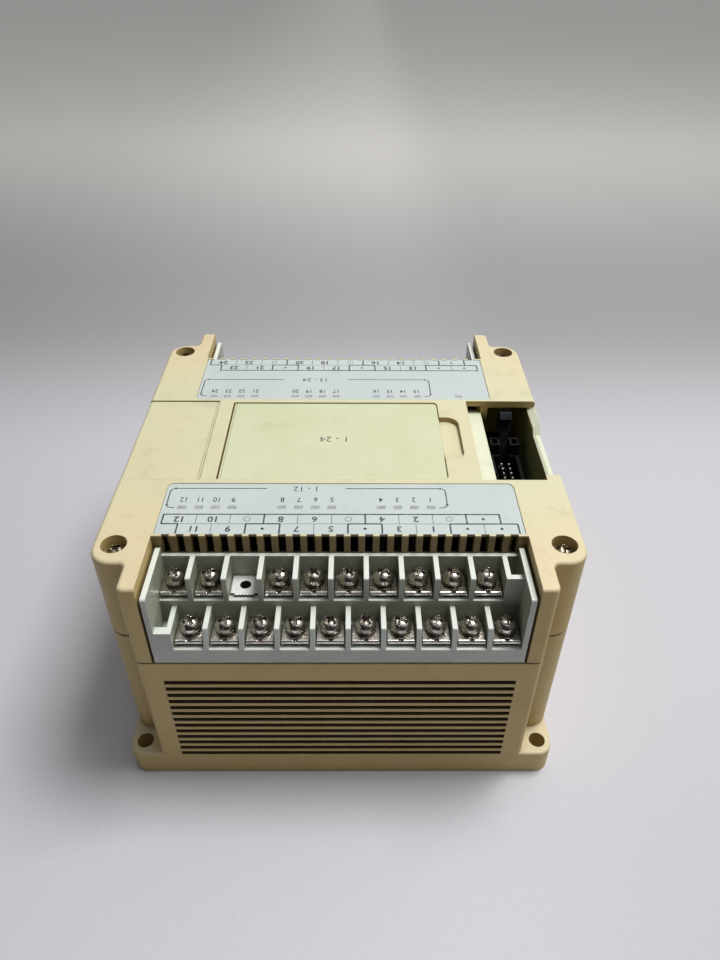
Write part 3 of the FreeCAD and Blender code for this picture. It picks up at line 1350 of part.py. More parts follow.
CAPACITOR_CANS = ((-11.0, 5.0, 20.0), (-0.5, 4.0, 12.0))    # x, radius, height
CAPACITOR_Y = 3.0
CAN_GROOVE = (2.2, 0.8, 0.4)    # height above the board, width, depth


def filter_capacitors():
    """Round electrolytic cans on the relay board."""
    cans = []
    lift, width, depth = CAN_GROOVE
    groove_z = RELAY_BOARD_TOP + lift
    for x, radius, height in CAPACITOR_CANS:
        can = rod_z(x, CAPACITOR_Y, RELAY_BOARD_TOP, RELAY_BOARD_TOP + height, radius)
        groove = rod_z(x, CAPACITOR_Y, groove_z, groove_z + width, radius + 1)
        groove = groove.cut(rod_z(x, CAPACITOR_Y, groove_z - 1, groove_z + 2, radius - depth))
        cans.append(can.cut(groove))
    return Part.Compound(cans)


PILLAR_RADIUS = 3.1          # across the corners of the hexagon
PILLAR_THREAD_DEPTH = 8.0


def board_standoffs():
    """Hexagonal pillars: a stud into the base boss, a threaded hole for the board screw."""
    pillars = []
    hexagon = []
    for k in range(6):
        angle = math.radians(60 * k)
        hexagon.append((PILLAR_RADIUS * math.cos(angle), PILLAR_RADIUS * math.sin(angle)))
    for x, y in four_corners(STANDOFF_X, STANDOFF_Y):
        pillar = prism_z(hexagon, [0] * 6, RELAY_BOARD_TOP, LOGIC_BOARD_Z)
        pillar = pillar.fuse(rod_z(0, 0, STANDOFF_PILOT_Z + 0.4, RELAY_BOARD_TOP + 1, SHANK_RADIUS))
        pillar = pillar.cut(
            rod_z(0, 0, LOGIC_BOARD_Z - PILLAR_THREAD_DEPTH, LOGIC_BOARD_Z + 1, THREAD_HOLE_RADIUS)
        )
        pillars.append(moved(pillar.removeSplitter(), x, y, 0))
    return Part.Compound(pillars)


BOARD_SCREW = (2.7, 1.9, 7.0)    # head radius, head height, shank
BOARD_SCREW_ANGLES = (15, 50, 70, 35)


def board_screws():
    """Short screws that hold the logic board on its pillars."""
    screws = []
    head_radius, head_height, shank = BOARD_SCREW
    for (x, y), angle in zip(four_corners(STANDOFF_X, STANDOFF_Y), BOARD_SCREW_ANGLES):
        screws.append(moved(pan_screw(head_radius, head_height, shank, angle), x, y, LOGIC_BOARD_TOP))
    return Part.Compound(screws)


# ---------------------------------------------------------------- rail latch

PRY_SLOT_Y = (61.5, 64.5)
LATCH_WINDOWS = 3
LATCH_WINDOW_X = (2.0, 6.4)
LATCH_WINDOW_Y = 30.0
LATCH_WINDOW_PITCH = 9.0
LATCH_WINDOW_LENGTH = 6.0


def din_latch():
    """The sliding hook that grips the mounting rail, with a slot for a screwdriver."""
    half = LATCH_HALF_WIDTH
    plate = block(-half, half, LATCH_Y[0] + 2.0, LATCH_Y[1], LATCH_Z[0], LATCH_Z[1])
    nose_profile = [
        (LATCH_Y[0] + 1.6, LATCH_Z[0]), (LATCH_Y[0] + 3.6, LATCH_Z[0]),
        (LATCH_Y[0] + 3.6, LATCH_NOSE_Z), (LATCH_Y[0], LATCH_NOSE_Z), (LATCH_Y[0], LATCH_NOSE_Z - 1.4),
    ]
    nose = prism_x(nose_profile, [0] * 5, -half, half)
    body = plate.fuse(nose)
    above = LATCH_Z[1] + 1
    cuts = [rounded_block(-4.0, 4.0, PRY_SLOT_Y[0], PRY_SLOT_Y[1], 0, above, 0.8)]
    for side in (-1, 1):
        for k in range(LATCH_WINDOWS):
            y = LATCH_WINDOW_Y + k * LATCH_WINDOW_PITCH
            x_edges = sorted((side * LATCH_WINDOW_X[0], side * LATCH_WINDOW_X[1]))
            cuts.append(rounded_block(x_edges[0], x_edges[1], y, y + LATCH_WINDOW_LENGTH, 0, above, 1.0))
    return body.cut(cuts).removeSplitter()


# ---------------------------------------------------------------- write every piece

save("base_case", base_case())
save("top_case", top_case())
save("centre_lid", centre_lid())
save("left_port_cover", left_port_cover())
save("front_label", label(FRONT_LABEL_Y, False, FRONT_MARKS))
save("rear_label", label(REAR_LABEL_Y, True, REAR_MARKS))
save("front_terminal_block", front_terminal_block())
save("rear_terminal_block", half_turn(front_terminal_block()))
save("terminal_plates", terminal_plates())
save("clamp_washers", clamp_washers())
save("spring_washers", spring_washers())
save("terminal_screws", terminal_screws())
save("case_screws", case_screws())
save("bus_header", bus_header())
save("bus_header_pins", bus_header_pins())
save("front_ejector", ejector(-1))
save("rear_ejector", ejector(1))
save("logic_board", logic_board())
save("logic_chips", logic_chips())
save("front_indicators", indicators(FRONT_MARKS))
save("rear_indicators", indicators(REAR_MARKS))
save("front_light_pipes", light_pipes(FRONT_MARKS))
save("rear_light_pipes", light_pipes(REAR_MARKS))
save("front_terminal_board", front_terminal_board())
save("rear_terminal_board", half_turn(front_terminal_board()))
save("front_link_wires", front_link_wires())
save("rear_link_wires", half_turn(front_link_wires()))
save("logic_link_pins", logic_link_pins())
save("relay_board", relay_board())
save("relays", relays())
save("transformer_core", transformer_core())
save("transformer_winding", transformer_winding())
save("filter_capacitors", filter_capacitors())
save("board_standoffs", board_standoffs())
save("board_screws", board_screws())
save("din_latch", din_latch())
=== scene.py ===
import math

import bmesh
import bpy
from mathutils import Matrix, Vector


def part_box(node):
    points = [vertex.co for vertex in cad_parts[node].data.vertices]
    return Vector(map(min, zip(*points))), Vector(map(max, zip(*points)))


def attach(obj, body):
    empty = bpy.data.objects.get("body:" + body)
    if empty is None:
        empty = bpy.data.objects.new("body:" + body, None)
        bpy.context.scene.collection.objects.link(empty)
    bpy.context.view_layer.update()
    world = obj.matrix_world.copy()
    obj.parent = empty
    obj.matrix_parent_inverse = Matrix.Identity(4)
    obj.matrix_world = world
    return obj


# Looks of the relay output expansion module. Metres, in the same frame as the CAD.

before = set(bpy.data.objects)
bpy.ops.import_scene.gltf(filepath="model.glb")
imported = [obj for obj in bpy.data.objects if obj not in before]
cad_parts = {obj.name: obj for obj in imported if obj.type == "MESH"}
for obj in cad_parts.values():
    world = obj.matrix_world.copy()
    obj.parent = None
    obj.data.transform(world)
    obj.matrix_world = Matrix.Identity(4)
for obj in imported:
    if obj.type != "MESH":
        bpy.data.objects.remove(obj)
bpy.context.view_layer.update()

MM = 0.001


# ---------------------------------------------------------------- colours

def linear(channel):
    """One 8-bit screen channel as linear light."""
    share = channel / 255
    if share <= 0.04045:
        return share / 12.92
    return ((share + 0.055) / 1.055) ** 2.4


def paint(red, green, blue):
    """A colour given as 8-bit screen values."""
    return (linear(red), linear(green), linear(blue), 1.0)


# ---------------------------------------------------------------- material graph

NOISE_ROUGHNESS = 0.55       # how strong each finer layer of a noise is beside the one before
SAMPLES_PER_HIT = 4          # rays for rounded edges and for crevices
SOFT_EDGE = 0.1 * MM         # each side of the edge of a patch of other colour


class Graph:
    """A node tree, with a short call for each kind of node used here."""

    def __init__(self, tree, coordinates):
        self.nodes = tree.nodes
        self.links = tree.links
        self.place = self.new("ShaderNodeTexCoord").outputs[coordinates]

    def new(self, kind, **settings):
        node = self.nodes.new(kind)
        for key, value in settings.items():
            setattr(node, key, value)
        return node

    def feed(self, socket, value):
        """Links an output to the socket, or sets it to a plain value."""
        if isinstance(value, bpy.types.NodeSocket):
            self.links.new(value, socket)
        else:
            socket.default_value = value

    def axes(self, vector):
        """The three parts of a vector."""
        node = self.new("ShaderNodeSeparateXYZ")
        self.feed(node.inputs[0], vector)
        return node.outputs

    def stretched(self, x, y, z):
        """The object's own coordinates, scaled by axis."""
        node = self.new("ShaderNodeVectorMath", operation="MULTIPLY")
        self.feed(node.inputs[0], self.place)
        self.feed(node.inputs[1], (x, y, z))
        return node.outputs[0]

    def noise(self, size, detail=2.0, vector=None):
        """Cloudy noise whose blobs are about size metres across."""
        node = self.new("ShaderNodeTexNoise")
        self.feed(node.inputs["Vector"], vector or self.place)
        self.feed(node.inputs["Scale"], 1 / size)
        self.feed(node.inputs["Detail"], detail)
        self.feed(node.inputs["Roughness"], NOISE_ROUGHNESS)
        return node.outputs["Fac"]

    def levels(self, source, low, high, to_low=0.0, to_high=1.0):
        """Maps low..high smoothly to to_low..to_high and holds it beyond both ends."""
        node = self.new("ShaderNodeMapRange", interpolation_type="SMOOTHSTEP")
        self.feed(node.inputs["Value"], source)
        self.feed(node.inputs["From Min"], low)
        self.feed(node.inputs["From Max"], high)
        self.feed(node.inputs["To Min"], to_low)
        self.feed(node.inputs["To Max"], to_high)
        return node.outputs["Result"]

    def combine(self, operation, first, second=0.0):
        """Arithmetic on two values, or on the first alone."""
        node = self.new("ShaderNodeMath", operation=operation)
        self.feed(node.inputs[0], first)
        self.feed(node.inputs[1], second)
        return node.outputs[0]

    def product(self, factors):
        """All the factors multiplied together."""
        result = factors[0]
        for factor in factors[1:]:
            result = self.combine("MULTIPLY", result, factor)
        return result

    def mix(self, factor, first, second):
        """From the first colour to the second."""
        node = self.new("ShaderNodeMix", data_type="RGBA")
        self.feed(node.inputs[0], factor)
        self.feed(node.inputs[6], first)
        self.feed(node.inputs[7], second)
        return node.outputs[2]

    def bump(self, height, distance, strength=1.0, normal=None):
        """A surface normal tilted by a height map."""
        node = self.new("ShaderNodeBump")
        self.feed(node.inputs["Height"], height)
        self.feed(node.inputs["Distance"], distance)
        self.feed(node.inputs["Strength"], strength)
        if normal is not None:
            self.feed(node.inputs["Normal"], normal)
        return node.outputs[0]

    def soft_edges(self, radius):
        """The surface normal with its sharp edges rounded off."""
        node = self.new("ShaderNodeBevel", samples=SAMPLES_PER_HIT)
        self.feed(node.inputs["Radius"], radius)
        return node.outputs[0]

    def edges(self, radius):
        """1 along the edges of the shape and 0 away from them."""
        node = self.new("ShaderNodeVectorMath", operation="DOT_PRODUCT")
        self.feed(node.inputs[0], self.soft_edges(radius))
        self.feed(node.inputs[1], self.new("ShaderNodeNewGeometry").outputs["Normal"])
        return self.levels(node.outputs["Value"], 0.995, 0.86)

    def crevices(self, distance):
        """1 deep in corners and gaps, 0 on open faces."""
        node = self.new("ShaderNodeAmbientOcclusion", samples=SAMPLES_PER_HIT)
        self.feed(node.inputs["Distance"], distance)
        return self.levels(node.outputs["AO"], 0.85, 0.25)

    def facing_up(self):
        """1 on level faces that look up, 0 on upright ones and on those that look down."""
        return self.facing("Z", 0.15, 0.75)

    def upright(self):
        """1 on upright faces and on those that look down, 0 on level ones that look up."""
        return self.combine("SUBTRACT", 1.0, self.facing_up())

    def between(self, value, low, high):
        """1 where a coordinate lies between two values."""
        return self.product([
            self.levels(value, low - SOFT_EDGE, low + SOFT_EDGE),
            self.levels(value, high + SOFT_EDGE, high - SOFT_EDGE),
        ])

    def facing(self, axis, low, high):
        """Rises from 0 to 1 as one part of the surface normal goes from low to high."""
        normal = self.new("ShaderNodeNewGeometry").outputs["Normal"]
        return self.levels(self.axes(normal)[axis], low, high)

    def per_solid(self):
        """A number that differs from one solid of the piece to the next."""
        return self.new("ShaderNodeNewGeometry").outputs["Random Per Island"]


class Surface(Graph):
    """A new material and the graph that feeds its surface shader."""

    def __init__(self, name):
        self.material = bpy.data.materials.new(name)
        self.material.use_nodes = True
        super().__init__(self.material.node_tree, "Object")
        self.shader = self.nodes["Principled BSDF"]

    def set(self, **values):
        """Feeds inputs of the surface shader; underscores in a name stand for spaces."""
        for key, value in values.items():
            self.feed(self.shader.inputs[key.replace("_", " ")], value)


# ---------------------------------------------------------------- plastics

GRAIN = 0.16 * MM            # moulded texture
SPECK = 0.45 * MM
SPECK_CLUSTERS = 28          # clusters of specks are this many specks across

COVER_SEAT_LEFT = 42.0 * MM  # where the missing bay cover began, and the stretch it lay over
COVER_SEAT_Y = (-24.3 * MM, 19.4 * MM)
COVER_SEAT_Z = (76.5 * MM, 82.8 * MM)
BAY_X = (46.9 * MM, 64.6 * MM)
BAY_Y = (-24.5 * MM, 19.5 * MM)
BAY_MOUTH_Z = (78.6 * MM, 76.6 * MM)
COMB_HALF_WIDTH = 51.3 * MM
COMB_BARS_Y = (47.9 * MM, 49.3 * MM)
COMB_TOP_Z = (82.7 * MM, 82.3 * MM)
VENT_HALF_WIDTH = 52.0 * MM
VENT_FACE_Y = (64.0 * MM, 64.4 * MM)
VENT_Z = (9.0 * MM, 50.0 * MM)


def specks(graph, size, amount):
    """Sparse tiny dots; amount 0 to 1 moves the threshold."""
    dots = graph.noise(size, 0.0)
    where = graph.levels(graph.noise(size * SPECK_CLUSTERS, 1.0), 0.5, 0.62)
    return graph.product([graph.levels(dots, 0.80 - 0.1 * amount, 0.84 - 0.1 * amount), where])


def covered_patch(graph):
    """1 on the level faces that the missing bay cover used to keep from the light."""
    x, y, z = graph.axes(graph.place)[:3]
    return graph.product([
        graph.levels(x, COVER_SEAT_LEFT - SOFT_EDGE, COVER_SEAT_LEFT + SOFT_EDGE),
        graph.between(y, *COVER_SEAT_Y),
        graph.between(z, *COVER_SEAT_Z),
        graph.facing_up(),
    ])


def bay_inside(graph):
    """1 on the walls down inside the open port bay, where painted shade gives them a duller tone than the
    outside.
    """
    x, y, z = graph.axes(graph.place)[:3]
    return graph.product([
        graph.between(x, *BAY_X),
        graph.between(y, *BAY_Y),
        graph.levels(z, *BAY_MOUTH_Z),
    ])


def comb_bars(graph):
    """1 on the narrow bars between the comb slots, where painted shade gives them a browner tone."""
    x, y, z = graph.axes(graph.place)[:3]
    return graph.product([
        graph.between(x, -COMB_HALF_WIDTH, COMB_HALF_WIDTH),
        graph.between(graph.combine("ABSOLUTE", y), *COMB_BARS_Y),
        graph.levels(z, *COMB_TOP_Z),
    ])


def vent_slots(graph):
    """1 on the surfaces inside the ventilation slots, where painted shade gives them a dark tone."""
    x, y, z = graph.axes(graph.place)[:3]
    return graph.product([
        graph.between(x, -VENT_HALF_WIDTH, VENT_HALF_WIDTH),
        graph.levels(graph.combine("ABSOLUTE", y), *VENT_FACE_Y),
        graph.between(z, *VENT_Z),
        graph.combine("ADD", graph.facing("Z", 0.4, 0.7), graph.facing("Z", -0.4, -0.7)),
    ])


def aged_case(name):
    """Cream moulded plastic that has yellowed, most of all towards the ends, with painted shade on its
    upright faces, in its crevices, vent slots and bay and on the comb bars, and edge wear with a painted
    highlight along its edges.
    """
    graph = Surface(name)
    fresh = paint(217, 220, 196)
    middle = paint(209, 206, 171)
    yellowed = paint(217, 201, 163)
    upright = paint(192, 168, 110)
    dirt_and_crevice_shade = paint(104, 88, 56)
    y = graph.axes(graph.place)["Y"]
    end_share = graph.levels(graph.combine("ABSOLUTE", y), 20 * MM, 62 * MM)
    clouds = graph.levels(graph.noise(34 * MM, 3.0), 0.36, 0.66)
    share = graph.combine("ADD", graph.product([end_share, 0.75]), graph.product([clouds, 0.35]))
    colour = graph.mix(share, middle, yellowed)
    # painted shade: upright faces and those that look down take a darker, browner tone
    colour = graph.mix(graph.upright(), colour, upright)
    # painted shade, near black, inside the ventilation slots
    colour = graph.mix(graph.product([vent_slots(graph), 0.9]), colour, paint(38, 28, 14))
    colour = graph.mix(covered_patch(graph), colour, fresh)
    # painted shade on the walls down inside the bay
    colour = graph.mix(bay_inside(graph), colour, paint(132, 134, 98))
    # painted shade on the bars between the comb slots
    colour = graph.mix(graph.product([comb_bars(graph), 0.9]), colour, paint(118, 98, 58))
    # painted shade in the crevices, in the same colour as the dirt smeared below
    colour = graph.mix(graph.product([graph.crevices(3.0 * MM), 0.55]), colour, dirt_and_crevice_shade)
    smears = graph.levels(graph.noise(7 * MM, 4.0), 0.52, 0.80)
    colour = graph.mix(graph.product([smears, 0.14]), colour, dirt_and_crevice_shade)
    colour = graph.mix(graph.product([specks(graph, SPECK, 0.15), 0.6]), colour, paint(96, 74, 46))
    # edge wear with a painted highlight: paler along the edges
    edge = graph.product([graph.edges(0.5 * MM), graph.levels(graph.noise(9 * MM, 3.0), 0.40, 0.62)])
    colour = graph.mix(graph.product([edge, 0.22]), colour, paint(246, 240, 216))
    grain = graph.noise(GRAIN, 2.0)
    waves = graph.noise(24 * MM, 1.0)
    normal = graph.bump(waves, 0.25 * MM, 0.35, graph.soft_edges(0.45 * MM))
    normal = graph.bump(grain, 0.02 * MM, 0.5, normal)
    rough = graph.levels(graph.noise(16 * MM, 3.0), 0.35, 0.7, 0.42, 0.58)
    graph.set(Base_Color=colour, Roughness=rough, Normal=normal, Specular_IOR_Level=0.4)
    return graph.material


def aged_lid(name):
    """Smooth lid plastic, a little greener, with fine wiping scratches and smudges, and painted shade in its
    crevices.
    """
    graph = Surface(name)
    colour = graph.mix(
        graph.levels(graph.noise(22 * MM, 3.0), 0.35, 0.68), paint(203, 206, 169), paint(208, 210, 178)
    )
    smudges = graph.levels(graph.noise(9 * MM, 5.0), 0.54, 0.78)
    colour = graph.mix(graph.product([smudges, 0.22]), colour, paint(176, 172, 132))
    scratches = graph.noise(1.0 * MM, 3.0, graph.stretched(0.09, 1.0, 1.0))
    where = graph.levels(graph.noise(15 * MM), 0.45, 0.6)
    streaks = graph.product([graph.levels(scratches, 0.60, 0.74), where])
    colour = graph.mix(graph.product([streaks, 0.18]), colour, paint(178, 172, 132))
    colour = graph.mix(graph.product([specks(graph, SPECK, 0.2), 0.6]), colour, paint(110, 92, 58))
    # painted shade in the crevices
    colour = graph.mix(graph.product([graph.crevices(1.6 * MM), 0.5]), colour, paint(150, 136, 92))
    normal = graph.bump(scratches, 0.02 * MM, 0.35, graph.soft_edges(0.25 * MM))
    normal = graph.bump(graph.noise(18 * MM, 1.0), 0.2 * MM, 0.3, normal)
    rough = graph.levels(smudges, 0.0, 1.0, 0.34, 0.5)
    graph.set(Base_Color=colour, Roughness=rough, Normal=normal, Specular_IOR_Level=0.45)
    return graph.material


def printed_sheet(name):
    """Bluish-white label film with faint grey smudges and painted shade in its crevices."""
    graph = Surface(name)
    colour = graph.mix(
        graph.levels(graph.noise(30 * MM, 2.0), 0.35, 0.65), paint(190, 200, 198), paint(196, 204, 201)
    )
    smudges = graph.levels(graph.noise(5 * MM, 5.0), 0.56, 0.82)
    colour = graph.mix(graph.product([smudges, 0.3]), colour, paint(160, 166, 158))
    colour = graph.mix(graph.product([specks(graph, 0.6 * MM, 0.3), 0.5]), colour, paint(120, 118, 108))
    # painted shade in the crevices
    colour = graph.mix(graph.product([graph.crevices(0.9 * MM), 0.55]), colour, paint(120, 118, 100))
    waves = graph.bump(graph.noise(12 * MM, 2.0), 0.1 * MM, 0.4)
    graph.set(
        Base_Color=colour,
        Roughness=graph.levels(smudges, 0.0, 1.0, 0.3, 0.5),
        Normal=graph.bump(graph.noise(0.25 * MM, 1.0), 0.01 * MM, 0.4, waves),
    )
    return graph.material


def ink(name, colour, bare, worn):
    """Printing ink, thinned and chipped here and there by the share worn."""
    graph = Surface(name)
    thin = graph.levels(graph.noise(1.6 * MM, 4.0), 0.42, 0.70)
    chips = graph.levels(graph.noise(0.35 * MM, 2.0), 0.66, 0.74)
    mixed = graph.mix(graph.product([thin, worn]), colour, bare)
    mixed = graph.mix(graph.product([chips, min(1.0, worn * 2)]), mixed, bare)
    graph.set(
        Base_Color=mixed,
        Roughness=graph.levels(thin, 0.0, 1.0, 0.4, 0.6),
        Normal=graph.bump(graph.noise(0.2 * MM, 1.0), 0.01 * MM, 0.3),
    )
    return graph.material


def pocket_walls(graph):
    """1 on faces that look left or right: the sides of the pocket dividers, where painted shade gives them a
    duller tone.
    """
    return graph.combine("ADD", graph.facing("X", 0.5, 0.9), graph.facing("X", -0.5, -0.9))


POCKET_BACK_Y = (61.0 * MM, 60.6 * MM)


def block_plastic(name):
    """Light grey terminal block plastic, faintly translucent, dusty in the pockets, with painted light on
    its tops and edges and painted shade on its sides, behind the pockets and in their crevices.
    """
    graph = Surface(name)
    colour = graph.mix(
        graph.levels(graph.noise(12 * MM, 3.0), 0.35, 0.68), paint(178, 182, 174), paint(190, 193, 185)
    )
    # painted light: level faces that look up are made paler
    colour = graph.mix(graph.facing_up(), colour, paint(222, 227, 218))
    # painted shade on the sides of the pocket dividers
    colour = graph.mix(graph.product([pocket_walls(graph), 0.85]), colour, paint(156, 162, 142))
    # painted shade gives the upright faces behind the pockets a duller tone as well
    depth = graph.combine("ABSOLUTE", graph.axes(graph.place)["Y"])
    behind = graph.product([graph.levels(depth, *POCKET_BACK_Y), graph.facing("Z", 0.6, 0.3)])
    colour = graph.mix(graph.product([behind, 0.5]), colour, paint(126, 130, 106))
    # dust mixed with painted shade in the crevices of the pockets
    dust = graph.product([graph.crevices(3.2 * MM), graph.levels(graph.noise(2.5 * MM, 4.0), 0.30, 0.70)])
    colour = graph.mix(graph.product([dust, 0.6]), colour, paint(112, 108, 90))
    colour = graph.mix(graph.product([specks(graph, 0.4 * MM, 0.5), 0.6]), colour, paint(110, 88, 62))
    # painted highlight along the edges
    colour = graph.mix(graph.product([graph.edges(0.3 * MM), 0.5]), colour, paint(244, 246, 244))
    normal = graph.bump(graph.noise(0.3 * MM, 2.0), 0.015 * MM, 0.4, graph.soft_edges(0.22 * MM))
    graph.set(
        Base_Color=colour,
        Roughness=graph.levels(graph.noise(6 * MM, 3.0), 0.35, 0.7, 0.30, 0.46),
        Subsurface_Weight=0.12,
        Subsurface_Radius=(1.0, 1.0, 1.0),
        Subsurface_Scale=1.2 * MM,
        Normal=normal,
    )
    return graph.material


def dark_plastic(name, body, dusty, rough_low, rough_high):
    """Dark moulded plastic with dust lying on its level faces and paler rubbed edges."""
    graph = Surface(name)
    dust_clouds = graph.levels(graph.noise(3 * MM, 5.0), 0.38, 0.72)
    colour = graph.mix(graph.product([dust_clouds, graph.facing_up(), 0.45]), body, dusty)
    colour = graph.mix(graph.product([graph.edges(0.3 * MM), 0.35]), colour, dusty)
    normal = graph.bump(graph.noise(0.2 * MM, 2.0), 0.02 * MM, 0.5, graph.soft_edges(0.2 * MM))
    graph.set(
        Base_Color=colour,
        Roughness=graph.levels(dust_clouds, 0.0, 1.0, rough_low, rough_high),
        Normal=normal,
        Specular_IOR_Level=0.25,
    )
    return graph.material


def clear_bar(name):
    """Clear light bar seen end on: a soft, cloudy grey."""
    graph = Surface(name)
    colour = graph.mix(
        graph.levels(graph.noise(0.8 * MM, 3.0), 0.3, 0.7), paint(158, 160, 162), paint(186, 188, 190)
    )
    graph.set(
        Base_Color=colour,
        Roughness=graph.levels(graph.noise(0.4 * MM, 2.0), 0.3, 0.7, 0.18, 0.38),
        Transmission_Weight=0.12,
        Normal=graph.bump(graph.noise(0.5 * MM, 2.0), 0.02 * MM, 0.4),
    )
    return graph.material


# ---------------------------------------------------------------- metals and boards

def plated_metal(name, bright, dull, tarnish, amount, shadow=0.8 * MM):
    """Bright plating with patches gone dull and small tarnished spots; each solid a little different;
    painted shade, near black, in its crevices.
    """
    graph = Surface(name)
    own = graph.per_solid()
    uneven = graph.combine("ADD", graph.noise(1.6 * MM, 4.0), graph.product([own, 0.12]))
    clouds = graph.levels(uneven, 0.42, 0.74)
    colour = graph.mix(clouds, bright, dull)
    spots = graph.levels(graph.noise(0.7 * MM, 4.0), 0.62 - 0.08 * amount, 0.76 - 0.08 * amount)
    colour = graph.mix(graph.product([spots, amount]), colour, tarnish)
    # painted shade, near black, in the crevices, over the shadow distance
    colour = graph.mix(graph.product([graph.crevices(shadow), 0.85]), colour, paint(26, 20, 16))
    dents = graph.noise(0.9 * MM, 2.0)
    scratches = graph.noise(0.25 * MM, 3.0, graph.stretched(1.0, 0.25, 1.0))
    normal = graph.bump(dents, 0.08 * MM, 0.5, graph.soft_edges(0.12 * MM))
    normal = graph.bump(scratches, 0.02 * MM, 0.4, normal)
    rough = graph.combine("ADD", graph.levels(clouds, 0.0, 1.0, 0.14, 0.30), graph.product([spots, 0.3]))
    graph.set(Base_Color=colour, Metallic=1.0, Roughness=rough, Normal=normal)
    return graph.material


def tin_plate(name):
    """Tin with faint brown stains: milky on its level faces, with painted shade, near black, on the others.
    """
    graph = Surface(name)
    clouds = graph.levels(graph.noise(1.8 * MM, 4.0), 0.40, 0.72)
    colour = graph.mix(clouds, paint(250, 251, 248), paint(232, 232, 224))
    stains = graph.levels(graph.noise(0.9 * MM, 4.0), 0.62, 0.78)
    colour = graph.mix(graph.product([stains, 0.5]), colour, paint(140, 112, 84))
    # painted shade: faces that do not look up are made near black
    colour = graph.mix(graph.product([graph.upright(), 0.95]), colour, paint(20, 17, 14))
    normal = graph.bump(graph.noise(0.3 * MM, 3.0), 0.02 * MM, 0.4, graph.soft_edges(0.2 * MM))
    rough = graph.levels(clouds, 0.0, 1.0, 0.36, 0.5)
    graph.set(Base_Color=colour, Metallic=0.3, Roughness=rough, Normal=normal)
    return graph.material


def header_pin(name, tip_z):
    """Tinned square pins with bright tips, and painted shade, dark, lower down."""
    graph = Surface(name)
    z = graph.axes(graph.place)["Z"]
    tips = graph.levels(z, tip_z - 1.6 * MM, tip_z - 0.1 * MM)
    # painted shade: dark lower down, bright at the tips
    colour = graph.mix(tips, paint(40, 38, 34), paint(206, 206, 200))
    stains = graph.levels(graph.noise(0.4 * MM, 3.0), 0.5, 0.8, 0.0, 0.3)
    colour = graph.mix(stains, colour, paint(150, 140, 120))
    normal = graph.bump(graph.noise(0.2 * MM, 2.0), 0.01 * MM, 0.4, graph.soft_edges(0.12 * MM))
    rough = graph.levels(graph.noise(0.5 * MM, 2.0), 0.3, 0.7, 0.28, 0.42)
    graph.set(Base_Color=colour, Metallic=0.55, Roughness=rough, Normal=normal)
    return graph.material


def varnished_board(name):
    """Green varnished laminate with faint tracks under the varnish."""
    graph = Surface(name)
    node = graph.new("ShaderNodeTexBrick", offset=0.35, squash=0.6)
    graph.feed(node.inputs["Vector"], graph.place)
    graph.feed(node.inputs["Scale"], 1 / (9 * MM))
    graph.feed(node.inputs["Mortar Size"], 0.06)
    graph.feed(node.inputs["Color1"], paint(20, 84, 52))
    graph.feed(node.inputs["Color2"], paint(24, 92, 56))
    graph.feed(node.inputs["Mortar"], paint(58, 122, 74))
    weave = graph.noise(0.7 * MM, 2.0)
    colour = graph.mix(graph.levels(weave, 0.3, 0.7, 0.0, 0.3), node.outputs["Color"], paint(12, 60, 38))
    normal = graph.bump(node.outputs["Fac"], 0.03 * MM, 0.5)
    graph.set(Base_Color=colour, Roughness=graph.levels(weave, 0.3, 0.7, 0.25, 0.45), Normal=normal)
    return graph.material


def mottled(name, first, second, size, rough_low, rough_high, metallic=0.0):
    """Two close colours in small clouds, with matching roughness and a fine bump."""
    graph = Surface(name)
    clouds = graph.levels(graph.noise(size, 4.0), 0.32, 0.70)
    graph.set(
        Base_Color=graph.mix(clouds, first, second),
        Metallic=metallic,
        Roughness=graph.levels(clouds, 0.0, 1.0, rough_low, rough_high),
        Normal=graph.bump(graph.noise(size / 4, 2.0), 0.02 * MM, 0.4, graph.soft_edges(0.2 * MM)),
    )
    return graph.material


WIRE_TURN = 0.5 * MM         # from one turn of the winding to the next


def wound_wire(name):
    """Enamelled copper in close turns on a pale bobbin, with painted shade in the grooves between turns and
    a painted highlight on their crests.
    """
    graph = Surface(name)
    z = graph.axes(graph.place)["Z"]
    turns = graph.combine("SINE", graph.combine("MULTIPLY", z, 2 * math.pi / WIRE_TURN))
    ridge = graph.levels(turns, -1.0, 1.0)
    # painted shade in the grooves between turns, painted highlight on their crests
    colour = graph.mix(ridge, paint(96, 52, 24), paint(196, 122, 62))
    graph.set(
        Base_Color=colour,
        Metallic=0.6,
        Roughness=graph.levels(graph.noise(1.0 * MM, 3.0), 0.3, 0.7, 0.25, 0.4),
        Normal=graph.bump(ridge, 0.1 * MM, 0.7),
    )
    return graph.material


# ---------------------------------------------------------------- dress the CAD nodes

def dress(material, names):
    """Puts one material on every slot of the named CAD nodes."""
    for name in names:
        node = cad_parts[name]
        for place in node.material_slots:
            place.material = material


LABEL_INK_BARE = paint(188, 197, 195)
CREAM_BARE = paint(203, 206, 170)

dress(aged_case("case_cream_aged"), ["base_case", "top_case", "left_port_cover"])
dress(aged_lid("lid_cream_aged"), ["centre_lid"])
dress(printed_sheet("label_film"), ["front_label", "rear_label"])
dress(block_plastic("terminal_grey_moulded"), ["front_terminal_block", "rear_terminal_block"])
screw_nickel = plated_metal(
    "nickel_plated", paint(236, 231, 224), paint(180, 170, 158), paint(112, 84, 66), 0.5, 1.1 * MM
)
dress(screw_nickel, ["terminal_screws", "board_screws"])
washer_nickel = plated_metal(
    "nickel_washer", paint(230, 227, 220), paint(186, 178, 166), paint(120, 90, 70), 0.4, 0.6 * MM
)
dress(washer_nickel, ["clamp_washers"])
dark_nickel = plated_metal("nickel_dark", paint(112, 106, 98), paint(84, 78, 70), paint(64, 48, 38), 0.7)
dress(dark_nickel, ["spring_washers"])
dress(tin_plate("tin_plate"), ["terminal_plates"])
